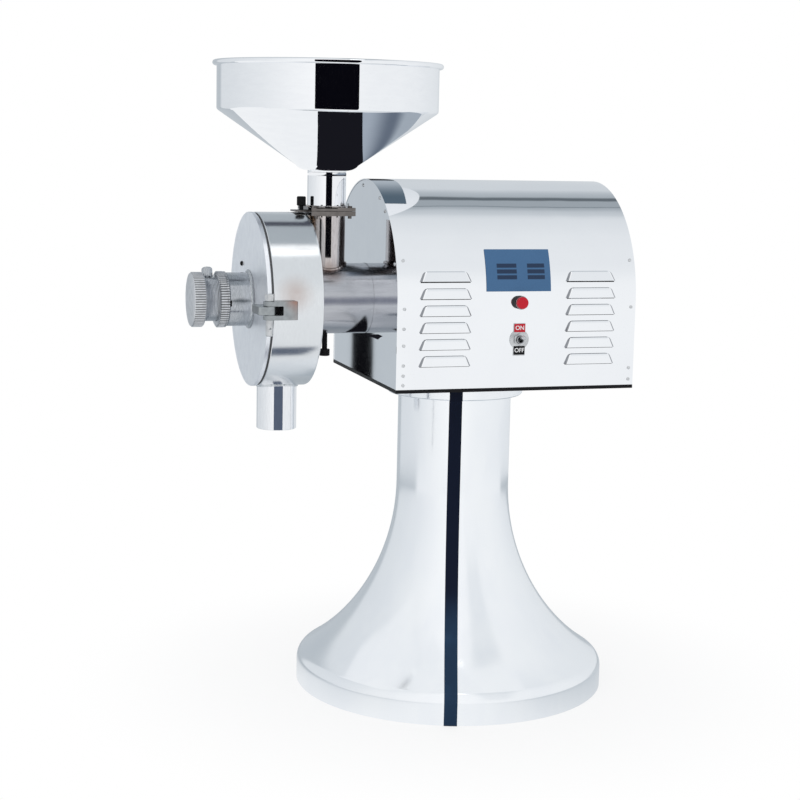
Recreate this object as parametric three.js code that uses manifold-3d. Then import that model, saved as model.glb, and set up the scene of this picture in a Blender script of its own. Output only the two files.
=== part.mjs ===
// Electric grain mill on a pedestal, in millimetres, +Z up.
// The origin is on the floor under the centre of the pedestal; the spindle runs along X
// and the grinding head is at -X. The side with the switch faces -Y.
import * as THREE from 'three';
import { mergeVertices } from 'three/addons/utils/BufferGeometryUtils.js';
import Module from 'manifold-3d';

const wasm = await Module();
wasm.setup();

// Clearances
const seatGap = 0.3;
const runGap = 0.5;
const overrun = 6;

// Pedestal
const baseRadius = 227;
const basePlateThickness = 10;
const rimHeight = 30;
const shoulderRise = 17;
const shoulderInset = 11;
const shoulderOutShare = 0.7;
const shoulderUpShare = 0.6;
const neckRadius = 82.5;
const neckFoot = 300;
const flareTurn = 58;
const standSheet = 2;
const neckEntry = 14;
const trimWidth = 18.5;
const trimThickness = 1.2;
const trimTurn = 17.7;
const columnRadius = 38;
const columnWall = 4;
const columnFlangeRadius = 66;
const columnFlangeThickness = 8;
const gussetThickness = 6;
const gussetHeight = 90;

// Collar and base plate between the pedestal and the machine
const collarBottom = 434;
const collarHeight = 23;
const collarRim = 16.5;
const cableHoleRadius = 20;
const trayThickness = 4.7;
const trayBoltRadius = 5;
const trayBoltInset = 8.5;
const trayBoltDepth = 14;
const trayBoltHead = 8;
const trayBoltHeadHeight = 6;

// Housing
const housingFront = 42;
const housingBack = 63.4;
const housingWidth = 325;
const housingHeight = 279.5;
const housingSheet = 1.5;
const endFlange = 18;
const endInset = 0.6;

// Louvres
const louvreRows = 6;
const louvreWidth = 74.5;
const louvreHeight = 14.5;
const louvreSlope = 6.5;
const louvreDepth = 4.5;
const louvreSheet = 1.2;
const louvreMargin = 31.5;
const louvrePitch = 23;
const lowestLouvre = 31.5;

// Data plate, reset button and switch on the near side
const plateShift = 0.6;
const plateWidth = 94.3;
const plateLow = 133;
const plateLength = 59;
const plateThickness = 0.8;
const resetShift = 0.9;
const resetRise = 118;
const resetRadius = 9.3;
const resetLength = 8.5;
const resetBore = 8.5;
const resetCapLength = 7;
const resetProud = 4.5;
const resetEdge = 1.1;
const resetNeck = 5.5;
const resetBack = 26;
const resetBackPlay = 0.8;
const switchShift = 1.5;
const switchRise = 66.7;
const switchPlateWidth = 17;
const switchPlateHeight = 45;
const switchPlateRound = 14;
const switchPlateThickness = 1;
const switchBush = 5.8;
const switchBushBore = 4.4;
const switchBushLength = 7;
const switchNutRadius = 8.6;
const switchNutThickness = 3;
const switchBodyWidth = 16;
const switchBodyHeight = 30;
const switchBodyDepth = 22;
const leverLength = 24;
const leverTip = 3;
const leverRoot = 1.8;
const leverTilt = 12;

// Motor
const spindleRise = 109.7;
const motorRadius = 82;
const motorWall = 10;
const motorLeft = -99;
const bellLength = 20;
const frameLength = 170;
const bellRadius = 78;
const footWidth = 150;
const footLength = 110;
const footThickness = 9;
const footReach = 63.7;
const pillarWidth = 93;
const ribCount = 10;
const ribLength = 146;
const ribRise = 5;
const ribThickness = 3.5;
const ribFootTurn = 50;
const footTurn = 180;
const ribCapacitorTurn = 20;
const capacitorRadius = 17.5;
const capacitorLength = 92;
const capacitorTurn = 32;
const capacitorClipLength = 40;
const capacitorClipWidth = 20;
const fanRadius = 66;
const fanHub = 20;
const fanBladeRoot = 16;
const fanClearance = 3;
const fanBlades = 8;
const fanBladeThickness = 2.5;
const fanLength = 20;
const fanShaftRadius = 9;
const cowlSheet = 2;
const cowlLength = 34;
const cowlOverlap = 10;
const cowlVentRadius = 50;
const glandRadius = 11;
const glandNeck = 7.7;
const glandBore = 4.6;
const glandNutLength = 6;
const glandCapLength = 10;
const glandTipRadius = 8.2;
const glandTipLength = 4;
const glandRise = 28;
const glandY = 90;

// Spindle and what it carries
const spindleRadius = 12.5;
const noseRadius = 10;
const noseReach = 7.3;
const tubeLength = 132.5;
const tubeRadius = 40;
const tubeBore = 27;
const tubeFlangeRadius = 62;
const tubeFlangeThickness = 9;
const bearingWidth = 15;
const bearingSpacing = 8;
const sealWidth = 8;
const augerCore = 17.5;
const augerRoot = 15.5;
const augerRadius = 25.6;
const augerPitch = 26;
const augerTurns = 3;
const augerFlight = 4;
const augerSteps = 10;

// Feed opening, slide gate and hopper
const flangeGap = 1.25;
const feedPipeRadius = 26.7;
const pipeWall = 2;
const flangeLength = 63.5;
const flangeWidth = 80;
const flangeDrop = 3.4;
const lowerFlangeThickness = 4.2;
const gateThickness = 2;
const upperFlangeThickness = 4.8;
const gateRail = 8;
const gateTongueWidth = 30;
const gateTongue = 17;
const gateKnobRadius = 6.1;
const gateKnobHeight = 13;
const gateKnobStem = 3;
const gateKnobRidge = 0.6;
const gateKnobRise = 6;
const gateKnobY = -7;
const flangeBoltRadius = 2.6;
const flangeBoltHead = 4.4;
const flangeBoltHeight = 3.6;
const flangeBoltInset = 7.5;
const neckPipeRadius = 27.2;
const bowlRadius = 155.2;
const bowlSheet = 1.5;
const neckLength = 48.3;
const bowlStub = 2.2;
const coneHeight = 84.5;
const coneFootRadius = 44;
const coneFootRise = 9.5;
const bowlBulgeTurn = 65;
const bowlHeight = 63.5;
const rimBead = 3.7;
const tubeBoltRadius = 4;
const tubeBoltLength = 32.5;
const tubeBoltHead = 7.5;
const tubeBoltHeadHeight = 9.5;

// Grinding drum
const drumRadius = 122;
const drumLength = 69.5;
const drumWall = 5;
const drumBackWall = 8;
const gasketThickness = 2.2;
const spoutShift = 1.75;
const spoutRadius = 28.2;
const spoutLength = 62;

// Grinding discs: rings of teeth that run between each other
const discRadius = 88;
const stationaryThickness = 12;
const rotatingThickness = 10;
const discFaceGap = 10;
const toothRise = 7.5;
const toothRoot = 1.5;
const toothRadial = 6;
const toothWidth = 8;
const stationaryRings = [45, 63, 81];
const rotatingRings = [54, 72];
const toothSpacing = 29;
const discNutRadius = 17;
const discNutThickness = 11;

// Front cover and its boss
const coverThickness = 6.2;
const spigotDepth = 3;
const spigotWidth = 4;
const spigotPlay = 1.2;
const bossRadius = 37.5;
const bossLength = 33;
const bossFootWidth = 4;
const bossFootHeight = 3.6;
const bossSlotWidth = 8.5;
const bossSlotLength = 2.4;
const bossSlotDepth = 2;
const plugCircle = 63;
const plugTurn = 48;
const plugRadius = 3.4;
const plugHeight = 2.6;
const plugRim = 1.6;
const plugTopRadius = 2;

// Feed adjuster
const sleeveRadius = 30.4;
const sleeveBore = 18;
const sleeveFloor = 9;
const threadShown = 18.8;
const lockRingRadius = 39.3;
const lockRingWidth = 13.4;
const knobRadius = 38.3;
const knobLength = 18.6;
const knobDome = 3;
const knobChamfer = 1.6;
const knobRidges = 28;
const ringRidges = 28;
const ridgeDepth = 1;
const padRadius = 20;
const padLength = 9.2;
const padGap = 0.5;
const knobScrewRadius = 7.6;
const knobScrewHeight = 13;
const knobScrewStem = 3.6;
const knobScrewBevel = 2.6;
const knobScrewRise = 2.4;
const knobScrewTurn = 20;

// Cover hinge on the near side
const hingeStand = 11;
const hingePinRadius = 5.2;
const hingeEyeRadius = 8.6;
const hingeMiddle = -2.5;
const hingeTongueThickness = 11.4;
const hingeArm = 6.5;
const hingeBracketLength = 37;
const hingeSlotLength = 17;
const hingeHead = 7;
const hingeHeadHeight = 9.6;
const hingePinEnd = -37;
const hingeCrossHole = 1.5;
const hingeCrossHoleRise = 10.5;
const tongueForward = 17;
const tongueReach = 33;

// Swing bolt lock on the far side
const lockSet = 22;
const lockStand = 15;
const lockPinRadius = 4;
const lockPinHead = 6;
const lockPinHeadHeight = 3.2;
const lockEyeRadius = 8;
const lockEyeThickness = 11.4;
const lockArm = 6;
const lockBracketLength = 20;
const lockSlotLength = 10;
const lockBoltRadius = 4;
const lockBoltLength = 54;
const lockKnobRadius = 13;
const lockKnobLength = 17;
const lockKnobLobes = 6;
const lockKnobLobe = 3.2;
const lockKnobPlay = 1.6;
const earThickness = 8;
const earHeight = 28;
const earReach = 46;
const earSlotDepth = 18;
const earSlotPlay = 0.7;

// Facet counts of round pieces
const largeFacets = 30;
const roundFacets = 18;
const smallFacets = 10;
const archFacets = 18;
const motorFacets = 12;
const boltFacets = 6;

// Places on the pedestal and the housing, worked out from the sizes above
const shellFoot = seatGap;
const shoulderTop = rimHeight + shoulderRise;
const neckTop = collarBottom + neckEntry;
const collarTop = collarBottom + collarHeight;
const collarRadius = neckRadius + collarRim;
const trayBoltCircle = collarRadius - trayBoltInset;
const trayBottom = collarTop + seatGap;
const trayTop = trayBottom + trayThickness;
const housingFloor = trayTop + seatGap;
const spindleHeight = housingFloor + spindleRise;
const archRadius = housingWidth / 2;
const sideHeight = housingHeight - archRadius;
const archCentre = housingFloor + sideHeight;

// Places along the spindle, from the motor to the right and then from the motor to the left
const frameLeft = motorLeft + bellLength + seatGap;
const frameRight = frameLeft + frameLength;
const bellRight = frameRight + seatGap + bellLength;
const fanLeft = bellRight + fanClearance;
const housingLeft = motorLeft - housingFront;
const housingRight = bellRight + cowlLength + housingBack;
const housingMiddle = (housingLeft + housingRight) / 2;
const resetX = housingMiddle + resetShift;
const switchX = housingMiddle + switchShift;
const drumBack = motorLeft - tubeLength;
const drumFront = drumBack - drumLength;
const spoutX = (drumBack + drumFront) / 2 - spoutShift;
const feedX = drumBack + flangeGap + flangeLength / 2;
const coverBack = drumFront - gasketThickness - 2 * seatGap;
const coverFront = coverBack - coverThickness;
const bossFoot = coverFront - seatGap;
const bossEnd = bossFoot - bossLength;
const ringBack = bossEnd - seatGap;
const ringFront = ringBack - lockRingWidth;
const knobBack = ringFront - threadShown;
const stationaryBack = drumBack - drumBackWall - seatGap;
const stationaryFace = stationaryBack - stationaryThickness;
const rotatingFace = stationaryFace - discFaceGap;
const rotatingFront = rotatingFace - rotatingThickness;
const nutRear = rotatingFront - seatGap;
const noseEnd = nutRear - discNutThickness - noseReach;
const padFace = noseEnd - padGap;
const sleeveInner = padFace - padLength - seatGap;

// Places above and beside the drum, from the spindle
const lowerFlangeBottom = drumRadius - flangeDrop;
const lowerFlangeTop = lowerFlangeBottom + lowerFlangeThickness;
const gateBottom = lowerFlangeTop + seatGap;
const gateTop = gateBottom + gateThickness;
const upperFlangeBottom = gateTop + seatGap;
const upperFlangeTop = upperFlangeBottom + upperFlangeThickness;
const bowlFoot = upperFlangeTop + neckLength;
const coneTop = bowlFoot + coneHeight;
const bowlTop = coneTop + bowlHeight;
const spoutEnd = drumRadius + spoutLength;
const hingeX = coverFront;
const hingeY = -drumRadius - hingeStand;
const lockX = coverFront + lockSet;
const lockY = drumRadius + lockStand;

// Solids from three.js geometry
const axisBasis = {
  x: [new THREE.Vector3(0, 1, 0), new THREE.Vector3(0, 0, 1), new THREE.Vector3(1, 0, 0)],
  y: [new THREE.Vector3(1, 0, 0), new THREE.Vector3(0, 0, 1), new THREE.Vector3(0, -1, 0)],
  z: [new THREE.Vector3(1, 0, 0), new THREE.Vector3(0, 1, 0), new THREE.Vector3(0, 0, 1)],
};
const unitOf = {
  x: new THREE.Vector3(1, 0, 0),
  y: new THREE.Vector3(0, 1, 0),
  z: new THREE.Vector3(0, 0, 1),
};

function radians(degrees) {
  return THREE.MathUtils.degToRad(degrees);
}

function signedVolume(positions, triangles) {
  const [a, b, c] = [new THREE.Vector3(), new THREE.Vector3(), new THREE.Vector3()];
  let volume = 0;
  for (let i = 0; i < triangles.length; i += 3) {
    a.fromArray(positions, triangles[i] * 3);
    b.fromArray(positions, triangles[i + 1] * 3);
    c.fromArray(positions, triangles[i + 2] * 3);
    volume += a.dot(b.cross(c)) / 6;
  }
  return volume;
}

function solid(geometry) {
  geometry.deleteAttribute('normal');
  geometry.deleteAttribute('uv');
  const merged = mergeVertices(geometry);
  const positions = merged.attributes.position.array;
  const index = merged.index.array;
  const triangles = [];
  for (let i = 0; i < index.length; i += 3) {
    const [a, b, c] = [index[i], index[i + 1], index[i + 2]];
    if (a !== b && b !== c && c !== a) triangles.push(a, b, c);
  }
  if (signedVolume(positions, triangles) < 0) triangles.reverse();
  return new wasm.Manifold(new wasm.Mesh({
    numProp: 3,
    vertProperties: new Float32Array(positions),
    triVerts: new Uint32Array(triangles),
  }));
}

// A profile of [radius, place along the axis] points turned about an axis through a centre
function revolve(axis, profile, { at = [0, 0, 0], facets = roundFacets, closed = false } = {}) {
  const points = profile.map(([radius, along]) => new THREE.Vector2(radius, along));
  if (closed) points.push(points[0].clone());
  const geometry = new THREE.LatheGeometry(points, facets);
  if (axis === 'x') geometry.rotateZ(-Math.PI / 2);
  if (axis === 'z') geometry.rotateX(Math.PI / 2);
  return solid(geometry.translate(...at));
}

function rod(axis, radius, from, to, options) {
  return revolve(axis, [[0, from], [radius, from], [radius, to], [0, to]], options);
}

function pipe(axis, outer, inner, from, to, options) {
  const profile = [[inner, from], [outer, from], [outer, to], [inner, to]];
  return revolve(axis, profile, { ...options, closed: true });
}

function extrude(axis, shape, from, to, curveSegments = smallFacets) {
  const options = { depth: to - from, bevelEnabled: false, curveSegments };
  const geometry = new THREE.ExtrudeGeometry(shape, options);
  geometry.applyMatrix4(new THREE.Matrix4().makeBasis(...axisBasis[axis]));
  const start = axis === 'y' ? to : from;
  return solid(geometry.translate(...unitOf[axis].clone().multiplyScalar(start).toArray()));
}

function block(x, y, z) {
  const geometry = new THREE.BoxGeometry(x[1] - x[0], y[1] - y[0], z[1] - z[0]);
  return solid(geometry.translate((x[0] + x[1]) / 2, (y[0] + y[1]) / 2, (z[0] + z[1]) / 2));
}

function around(middle, size) {
  return [middle - size / 2, middle + size / 2];
}

function polygon(points) {
  return new THREE.Shape(points.map(([x, y]) => new THREE.Vector2(x, y)));
}

function hexagon(radius) {
  const sides = 6;
  return polygon(Array.from({ length: sides }, (_, i) => {
    const angle = (2 * Math.PI * i) / sides;
    return [radius * Math.cos(angle), radius * Math.sin(angle)];
  }));
}

// A wheel outline whose rim rises and falls, for knurled knobs and lobed grips
function ridged(ridges, radius, depth) {
  const corners = [];
  for (let i = 0; i < 2 * ridges; i += 1) {
    const angle = (Math.PI * i) / ridges;
    const reach = i % 2 ? radius - depth : radius;
    corners.push([reach * Math.cos(angle), reach * Math.sin(angle)]);
  }
  return polygon(corners);
}

function joined(solids) {
  return solids.reduce((whole, next) => whole.add(next));
}

function moved(shape, x, y, z) {
  return shape.translate([x, y, z]);
}

// Materials
function finish(color, roughness, metalness) {
  return () => new THREE.MeshStandardMaterial({ color, roughness, metalness });
}
const mirrorSteel = finish(0xdfe4ea, 0.12, 1);
const satinSteel = finish(0xc3c7cc, 0.35, 1);
const darkSteel = finish(0x6d6f73, 0.45, 1);
const castIron = finish(0x5d6166, 0.6, 0.8);
const blackPaint = finish(0x17181b, 0.45, 0.2);
const blackPlastic = finish(0x1b1c1f, 0.5, 0);
const redPlastic = finish(0xc2162b, 0.35, 0);
const bluePlate = finish(0x557da5, 0.4, 0);
const navyStrip = finish(0x151a2c, 0.15, 0.1);
const siliconeGrey = finish(0x3c3f44, 0.8, 0);
const motorGrey = finish(0x7d868f, 0.55, 0.3);
const brassColour = finish(0xb08d45, 0.35, 1);

const mill = new THREE.Group();
mill.name = 'electric_grain_mill';
const head = new THREE.Group();
head.position.z = spindleHeight;
mill.add(head);

function piece(parent, name, shape, makeMaterial) {
  const { vertProperties, triVerts } = shape.getMesh();
  const geometry = new THREE.BufferGeometry();
  geometry.setAttribute('position', new THREE.BufferAttribute(vertProperties, 3));
  geometry.setIndex(new THREE.BufferAttribute(triVerts, 1));
  geometry.computeVertexNormals();
  const mesh = new THREE.Mesh(geometry, makeMaterial());
  mesh.name = name;
  parent.add(mesh);
  return mesh;
}

// Pedestal
// The flare is a quarter of an ellipse that leaves the neck upright and ends at the shoulder.
function standOutline(offset, bottom) {
  const turn = radians(flareTurn);
  const reach = (baseRadius - shoulderInset - neckRadius) / (1 - Math.cos(turn));
  const drop = (neckFoot - shoulderTop) / Math.sin(turn);
  const steps = 7;
  const points = [[baseRadius + offset, bottom], [baseRadius + offset, rimHeight]];
  points.push([
    baseRadius - shoulderInset * (1 - shoulderOutShare) + offset,
    rimHeight + shoulderRise * shoulderUpShare,
  ]);
  for (let i = 0; i <= steps; i += 1) {
    const angle = turn * (1 - i / steps);
    points.push([
      neckRadius + reach * (1 - Math.cos(angle)) + offset,
      neckFoot - drop * Math.sin(angle),
    ]);
  }
  points.push([neckRadius + offset, neckTop]);
  return points;
}

function standShell() {
  const outside = standOutline(0, shellFoot);
  const inside = standOutline(-standSheet, shellFoot).reverse();
  return revolve('z', [...outside, ...inside], { facets: largeFacets, closed: true });
}

function standTrim() {
  const inside = standOutline(seatGap, shellFoot);
  const outside = standOutline(seatGap + trimThickness, shellFoot).reverse();
  const skin = revolve('z', [...inside, ...outside], { facets: largeFacets, closed: true });
  const slab = block(around(0, trimWidth), [-baseRadius - overrun, 0], [0, collarBottom - seatGap]);
  return skin.intersect(slab.rotate([0, 0, -trimTurn]));
}

function standColumn() {
  const foot = basePlateThickness + seatGap;
  const top = neckTop;
  const round = { facets: smallFacets };
  const column = pipe('z', columnRadius, columnRadius - columnWall, foot, top, round);
  const footFlange = pipe('z', columnFlangeRadius, columnRadius - columnWall,
    foot, foot + columnFlangeThickness, round);
  const topFlange = pipe('z', columnFlangeRadius, columnRadius - columnWall,
    top - columnFlangeThickness, top, round);
  const inner = columnRadius - columnWall / 2;
  const bottom = foot + columnFlangeThickness / 2;
  const gusset = polygon([
    [inner, bottom],
    [columnFlangeRadius, bottom],
    [columnFlangeRadius, foot + columnFlangeThickness],
    [inner, foot + gussetHeight],
  ]);
  const fin = extrude('y', gusset, -gussetThickness / 2, gussetThickness / 2);
  const fins = [0, 90, 180, 270].map((degrees) => fin.rotate([0, 0, degrees]));
  return joined([column, footFlange, topFlange, ...fins]);
}

function standCollar() {
  const recess = neckRadius + seatGap;
  const roof = neckTop + seatGap;
  const body = revolve('z', [
    [recess, collarBottom],
    [collarRadius, collarBottom],
    [collarRadius, collarTop],
    [cableHoleRadius, collarTop],
    [cableHoleRadius, roof],
    [recess, roof],
  ], { facets: largeFacets, closed: true });
  const holes = trayBoltPlaces().map(([x, y]) => rod('z', trayBoltRadius + runGap,
    collarTop - trayBoltDepth - runGap, collarTop + overrun, { at: [x, y, 0], facets: boltFacets }));
  return body.subtract(joined(holes));
}

function trayBoltPlaces() {
  return [0, 90, 180, 270].map((degrees) => [
    trayBoltCircle * Math.cos(radians(degrees)),
    trayBoltCircle * Math.sin(radians(degrees)),
  ]);
}

piece(mill, 'stand_base_plate', rod('z', baseRadius - standSheet - seatGap, 0, basePlateThickness,
  { facets: largeFacets }), castIron);
piece(mill, 'stand_shell', standShell(), mirrorSteel);
piece(mill, 'stand_trim_strip', standTrim(), navyStrip);
piece(mill, 'stand_column', standColumn(), castIron);
piece(mill, 'stand_collar', standCollar(), mirrorSteel);

// Base plate of the machine, with the four bolts that hold it to the collar
function basePlate() {
  const sheet = block([housingLeft, housingRight], around(0, housingWidth), [trayBottom, trayTop]);
  const cableHole = rod('z', cableHoleRadius, trayBottom - overrun, trayTop + overrun,
    { facets: smallFacets });
  const bolts = trayBoltPlaces().map(([x, y]) => {
    const boltHead = extrude('z', hexagon(trayBoltHead),
      trayTop - trayThickness / 2, trayTop + trayBoltHeadHeight);
    const shank = rod('z', trayBoltRadius, collarTop - trayBoltDepth, trayTop, { facets: boltFacets });
    return moved(boltHead.add(shank), x, y, 0);
  });
  return joined([sheet.subtract(cableHole), ...bolts]);
}
piece(mill, 'base_plate', basePlate(), blackPaint);

// Housing: a sheet bent over two tombstone-shaped end plates
function archPoints(inset, bottom) {
  const reach = archRadius - inset;
  const points = [[reach, bottom]];
  for (let i = 0; i <= archFacets; i += 1) {
    const angle = (Math.PI * i) / archFacets;
    points.push([reach * Math.cos(angle), archCentre + reach * Math.sin(angle)]);
  }
  points.push([-reach, bottom]);
  return points;
}

// A bent sheet of constant thickness whose outside lies a given inset inside the housing
function bentSheet(inset, thickness, from, to) {
  const outside = archPoints(inset, housingFloor);
  const inside = archPoints(inset + thickness, housingFloor).reverse();
  return extrude('x', polygon([...outside, ...inside]), from, to);
}

// A louvre's pressed hood stands off the sheet at its lower edge, where it is open.
function prism(corners) {
  const geometry = new THREE.BufferGeometry();
  geometry.setAttribute('position', new THREE.BufferAttribute(new Float32Array(corners.flat()), 3));
  geometry.setIndex([0, 1, 2, 0, 2, 3, 0, 4, 5, 0, 5, 1, 1, 5, 2, 0, 3, 4, 2, 5, 4, 2, 4, 3]);
  return solid(geometry);
}

function louvreForm(width, slope, height, depth, bottom, root) {
  const half = width / 2;
  return prism([
    [-half, -root, bottom],
    [half, -root, bottom],
    [half - slope, -root, height],
    [-half + slope, -root, height],
    [-half + slope / 2, depth, bottom],
    [half - slope / 2, depth, bottom],
  ]);
}

function louvreHood() {
  return louvreForm(louvreWidth, louvreSlope, louvreHeight, louvreDepth, 0, housingSheet / 2);
}

function louvreHollow() {
  const width = louvreWidth - 2 * louvreSheet;
  const height = louvreHeight - 2 * louvreSheet;
  const depth = louvreDepth - louvreSheet;
  return louvreForm(width, louvreSlope, height, depth, -louvreSheet, 2 * housingSheet);
}

// Turns a form made on the plane Y = 0, outside towards +Y, to its place along the side's girth
function ontoSide(form, x, girth, side) {
  const outward = moved(form, 0, archRadius, 0);
  const straight = Math.min(girth, sideHeight);
  const turned = outward.rotate([THREE.MathUtils.radToDeg((girth - straight) / archRadius), 0, 0]);
  const placed = moved(turned, 0, 0, archCentre + straight - sideHeight);
  const facing = side > 0 ? placed : placed.mirror([0, 1, 0]);
  return moved(facing, x, 0, 0);
}

// The reset button's place on the near side
function onNearSide(form) {
  return ontoSide(form, resetX, resetRise, -1);
}

function louvrePlaces() {
  const places = [];
  const offset = louvreMargin + louvreWidth / 2;
  for (const side of [-1, 1]) {
    for (const x of [housingLeft + offset, housingRight - offset]) {
      for (let row = 0; row < louvreRows; row += 1) {
        places.push([x, lowestLouvre + row * louvrePitch, side]);
      }
    }
  }
  return places;
}

function housingCover() {
  const places = louvrePlaces();
  const hoods = places.map(([x, girth, side]) => ontoSide(louvreHood(), x, girth, side));
  const hollows = places.map(([x, girth, side]) => ontoSide(louvreHollow(), x, girth, side));
  const through = [-archRadius - overrun, -archRadius + overrun];
  const resetHole = onNearSide(rod('y', resetNeck + runGap, -overrun, overrun, { facets: smallFacets }));
  const switchHole = rod('y', switchBush + runGap, ...through,
    { at: [switchX, 0, housingFloor + switchRise], facets: smallFacets });
  const sheet = bentSheet(0, housingSheet, housingLeft, housingRight);
  return joined([sheet, ...hoods]).subtract(joined([...hollows, resetHole, switchHole]));
}

function endPlate(outerFace, inward) {
  const inset = housingSheet + seatGap;
  const face = outerFace + inward * endInset;
  const back = face + inward * housingSheet;
  const flangeEnd = face + inward * endFlange;
  const outline = polygon(archPoints(inset, housingFloor));
  const panel = extrude('x', outline, Math.min(face, back), Math.max(face, back));
  const flange = bentSheet(inset, housingSheet, Math.min(face, flangeEnd), Math.max(face, flangeEnd));
  return panel.add(flange);
}

piece(mill, 'housing_cover', housingCover(), mirrorSteel);
const tubeHole = rod('x', tubeRadius + runGap, housingLeft - overrun, housingLeft + overrun,
  { at: [0, 0, spindleHeight] });
piece(mill, 'end_plate_left', endPlate(housingLeft, 1).subtract(tubeHole), mirrorSteel);
const glandHeight = housingFloor + glandRise;
const glandHole = rod('x', glandNeck + runGap, housingRight - overrun, housingRight + overrun,
  { at: [0, glandY, glandHeight], facets: smallFacets });
piece(mill, 'end_plate_right', endPlate(housingRight, -1).subtract(glandHole), mirrorSteel);

// The gland is where the supply cord goes in; its bore is empty.
function cordGland() {
  const face = housingRight - endInset;
  const back = face - housingSheet - seatGap;
  const capEnd = face + seatGap + glandCapLength;
  const profile = [
    [glandBore, back - glandNutLength],
    [glandRadius, back - glandNutLength],
    [glandRadius, back],
    [glandNeck, back],
    [glandNeck, face + seatGap],
    [glandRadius, face + seatGap],
    [glandRadius, capEnd],
    [glandTipRadius, capEnd + glandTipLength],
    [glandBore, capEnd + glandTipLength],
  ];
  return revolve('x', profile, { at: [0, glandY, glandHeight], facets: smallFacets, closed: true });
}
piece(mill, 'cord_gland', cordGland(), blackPlastic);

// The data plate follows the bend of the side.
function dataPlate() {
  const low = (plateLow - sideHeight) / archRadius;
  const high = low + plateLength / archRadius;
  const inner = archRadius + seatGap;
  const steps = 4;
  const outline = [];
  for (const [reach, start, end] of [[inner, low, high], [inner + plateThickness, high, low]]) {
    for (let i = 0; i <= steps; i += 1) {
      const angle = start + ((end - start) * i) / steps;
      outline.push([-reach * Math.cos(angle), archCentre + reach * Math.sin(angle)]);
    }
  }
  return extrude('x', polygon(outline), ...around(housingMiddle - plateShift, plateWidth));
}
piece(mill, 'data_plate', dataPlate(), bluePlate);

// Reset button: a black body through the sheet and a red cap in its bore
const resetFront = seatGap + resetLength;

function resetBody() {
  const inside = -housingSheet - resetBackPlay;
  const boreEnd = resetFront - resetCapLength;
  const profile = [
    [0, boreEnd],
    [resetBore, boreEnd],
    [resetBore, resetFront],
    [resetRadius, resetFront],
    [resetRadius, seatGap],
    [resetNeck, seatGap],
    [resetNeck, inside],
    [resetRadius, inside],
    [resetRadius, inside - resetBack],
    [0, inside - resetBack],
  ];
  return onNearSide(revolve('y', profile, { facets: smallFacets }));
}
piece(mill, 'reset_button_body', resetBody(), blackPlastic);

function resetCap() {
  const front = resetFront + resetProud;
  const radius = resetBore - seatGap;
  const profile = [
    [0, front],
    [radius - resetEdge, front],
    [radius, front - resetEdge],
    [radius, front - resetCapLength],
    [0, front - resetCapLength],
  ];
  return onNearSide(revolve('y', profile, { facets: smallFacets }));
}
piece(mill, 'reset_button_cap', resetCap(), redPlastic);

// Toggle switch: body inside, bush through the sheet, plate and nut outside
const wallFace = -archRadius;
const switchAt = [switchX, 0, housingFloor + switchRise];
const switchPlateFace = wallFace - seatGap - switchPlateThickness;
const nutFace = switchPlateFace - seatGap - switchNutThickness;

function switchPlate() {
  const rectangle = polygon([
    [-switchPlateWidth / 2, -switchPlateHeight / 2],
    [switchPlateWidth / 2, -switchPlateHeight / 2],
    [switchPlateWidth / 2, switchPlateHeight / 2],
    [-switchPlateWidth / 2, switchPlateHeight / 2],
  ]);
  const span = [switchPlateFace, wallFace - seatGap];
  const plate = extrude('y', rectangle, ...span).add(rod('y', switchPlateRound, ...span));
  const hole = rod('y', switchBush + runGap, span[0] - overrun, span[1] + overrun, { facets: smallFacets });
  return moved(plate.subtract(hole), ...switchAt);
}
piece(mill, 'switch_plate', switchPlate(), satinSteel);

const bushEnd = wallFace - switchBushLength;
const leverPivot = wallFace + housingSheet;

function toggleBody() {
  const inside = wallFace + housingSheet + seatGap;
  const middle = inside + switchBodyDepth / 2;
  const box = block(around(0, switchBodyWidth), around(middle, switchBodyDepth), around(0, switchBodyHeight));
  const bush = rod('y', switchBush, bushEnd, middle, { facets: smallFacets });
  const mouth = rod('y', switchBushBore, bushEnd - overrun, middle, { facets: smallFacets });
  return moved(box.add(bush).subtract(mouth), ...switchAt);
}
piece(mill, 'toggle_body', toggleBody(), darkSteel);

function toggleNut() {
  const body = extrude('y', hexagon(switchNutRadius), nutFace, switchPlateFace - seatGap);
  const bore = rod('y', switchBush + seatGap, nutFace - overrun, switchPlateFace + overrun,
    { facets: smallFacets });
  return moved(body.subtract(bore), ...switchAt);
}
piece(mill, 'toggle_nut', toggleNut(), satinSteel);

// The lever is drawn straight along -Y from its pivot and tilted up to the on position.
function toggleLever() {
  const ball = switchBushBore * Math.cos(Math.PI / smallFacets) - seatGap;
  const half = Math.SQRT1_2;
  const profile = [
    [0, ball],
    [ball * half, ball * half],
    [ball, 0],
    [ball * half, -ball * half],
    [leverRoot, -ball],
    [leverTip, -leverLength + leverTip],
    [leverTip * half, -leverLength + leverTip * (1 - half)],
    [0, -leverLength],
  ].reverse();
  return revolve('y', profile, { facets: smallFacets });
}
const lever = piece(mill, 'toggle_lever', toggleLever(), satinSteel);
lever.position.set(switchX, leverPivot, housingFloor + switchRise);
lever.rotation.x = -radians(leverTilt);

// Motor: a ribbed frame on feet between two bells, with a fan under a cowl
const motorFloor = -spindleRise;
const motorRound = { facets: motorFacets };

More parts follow.
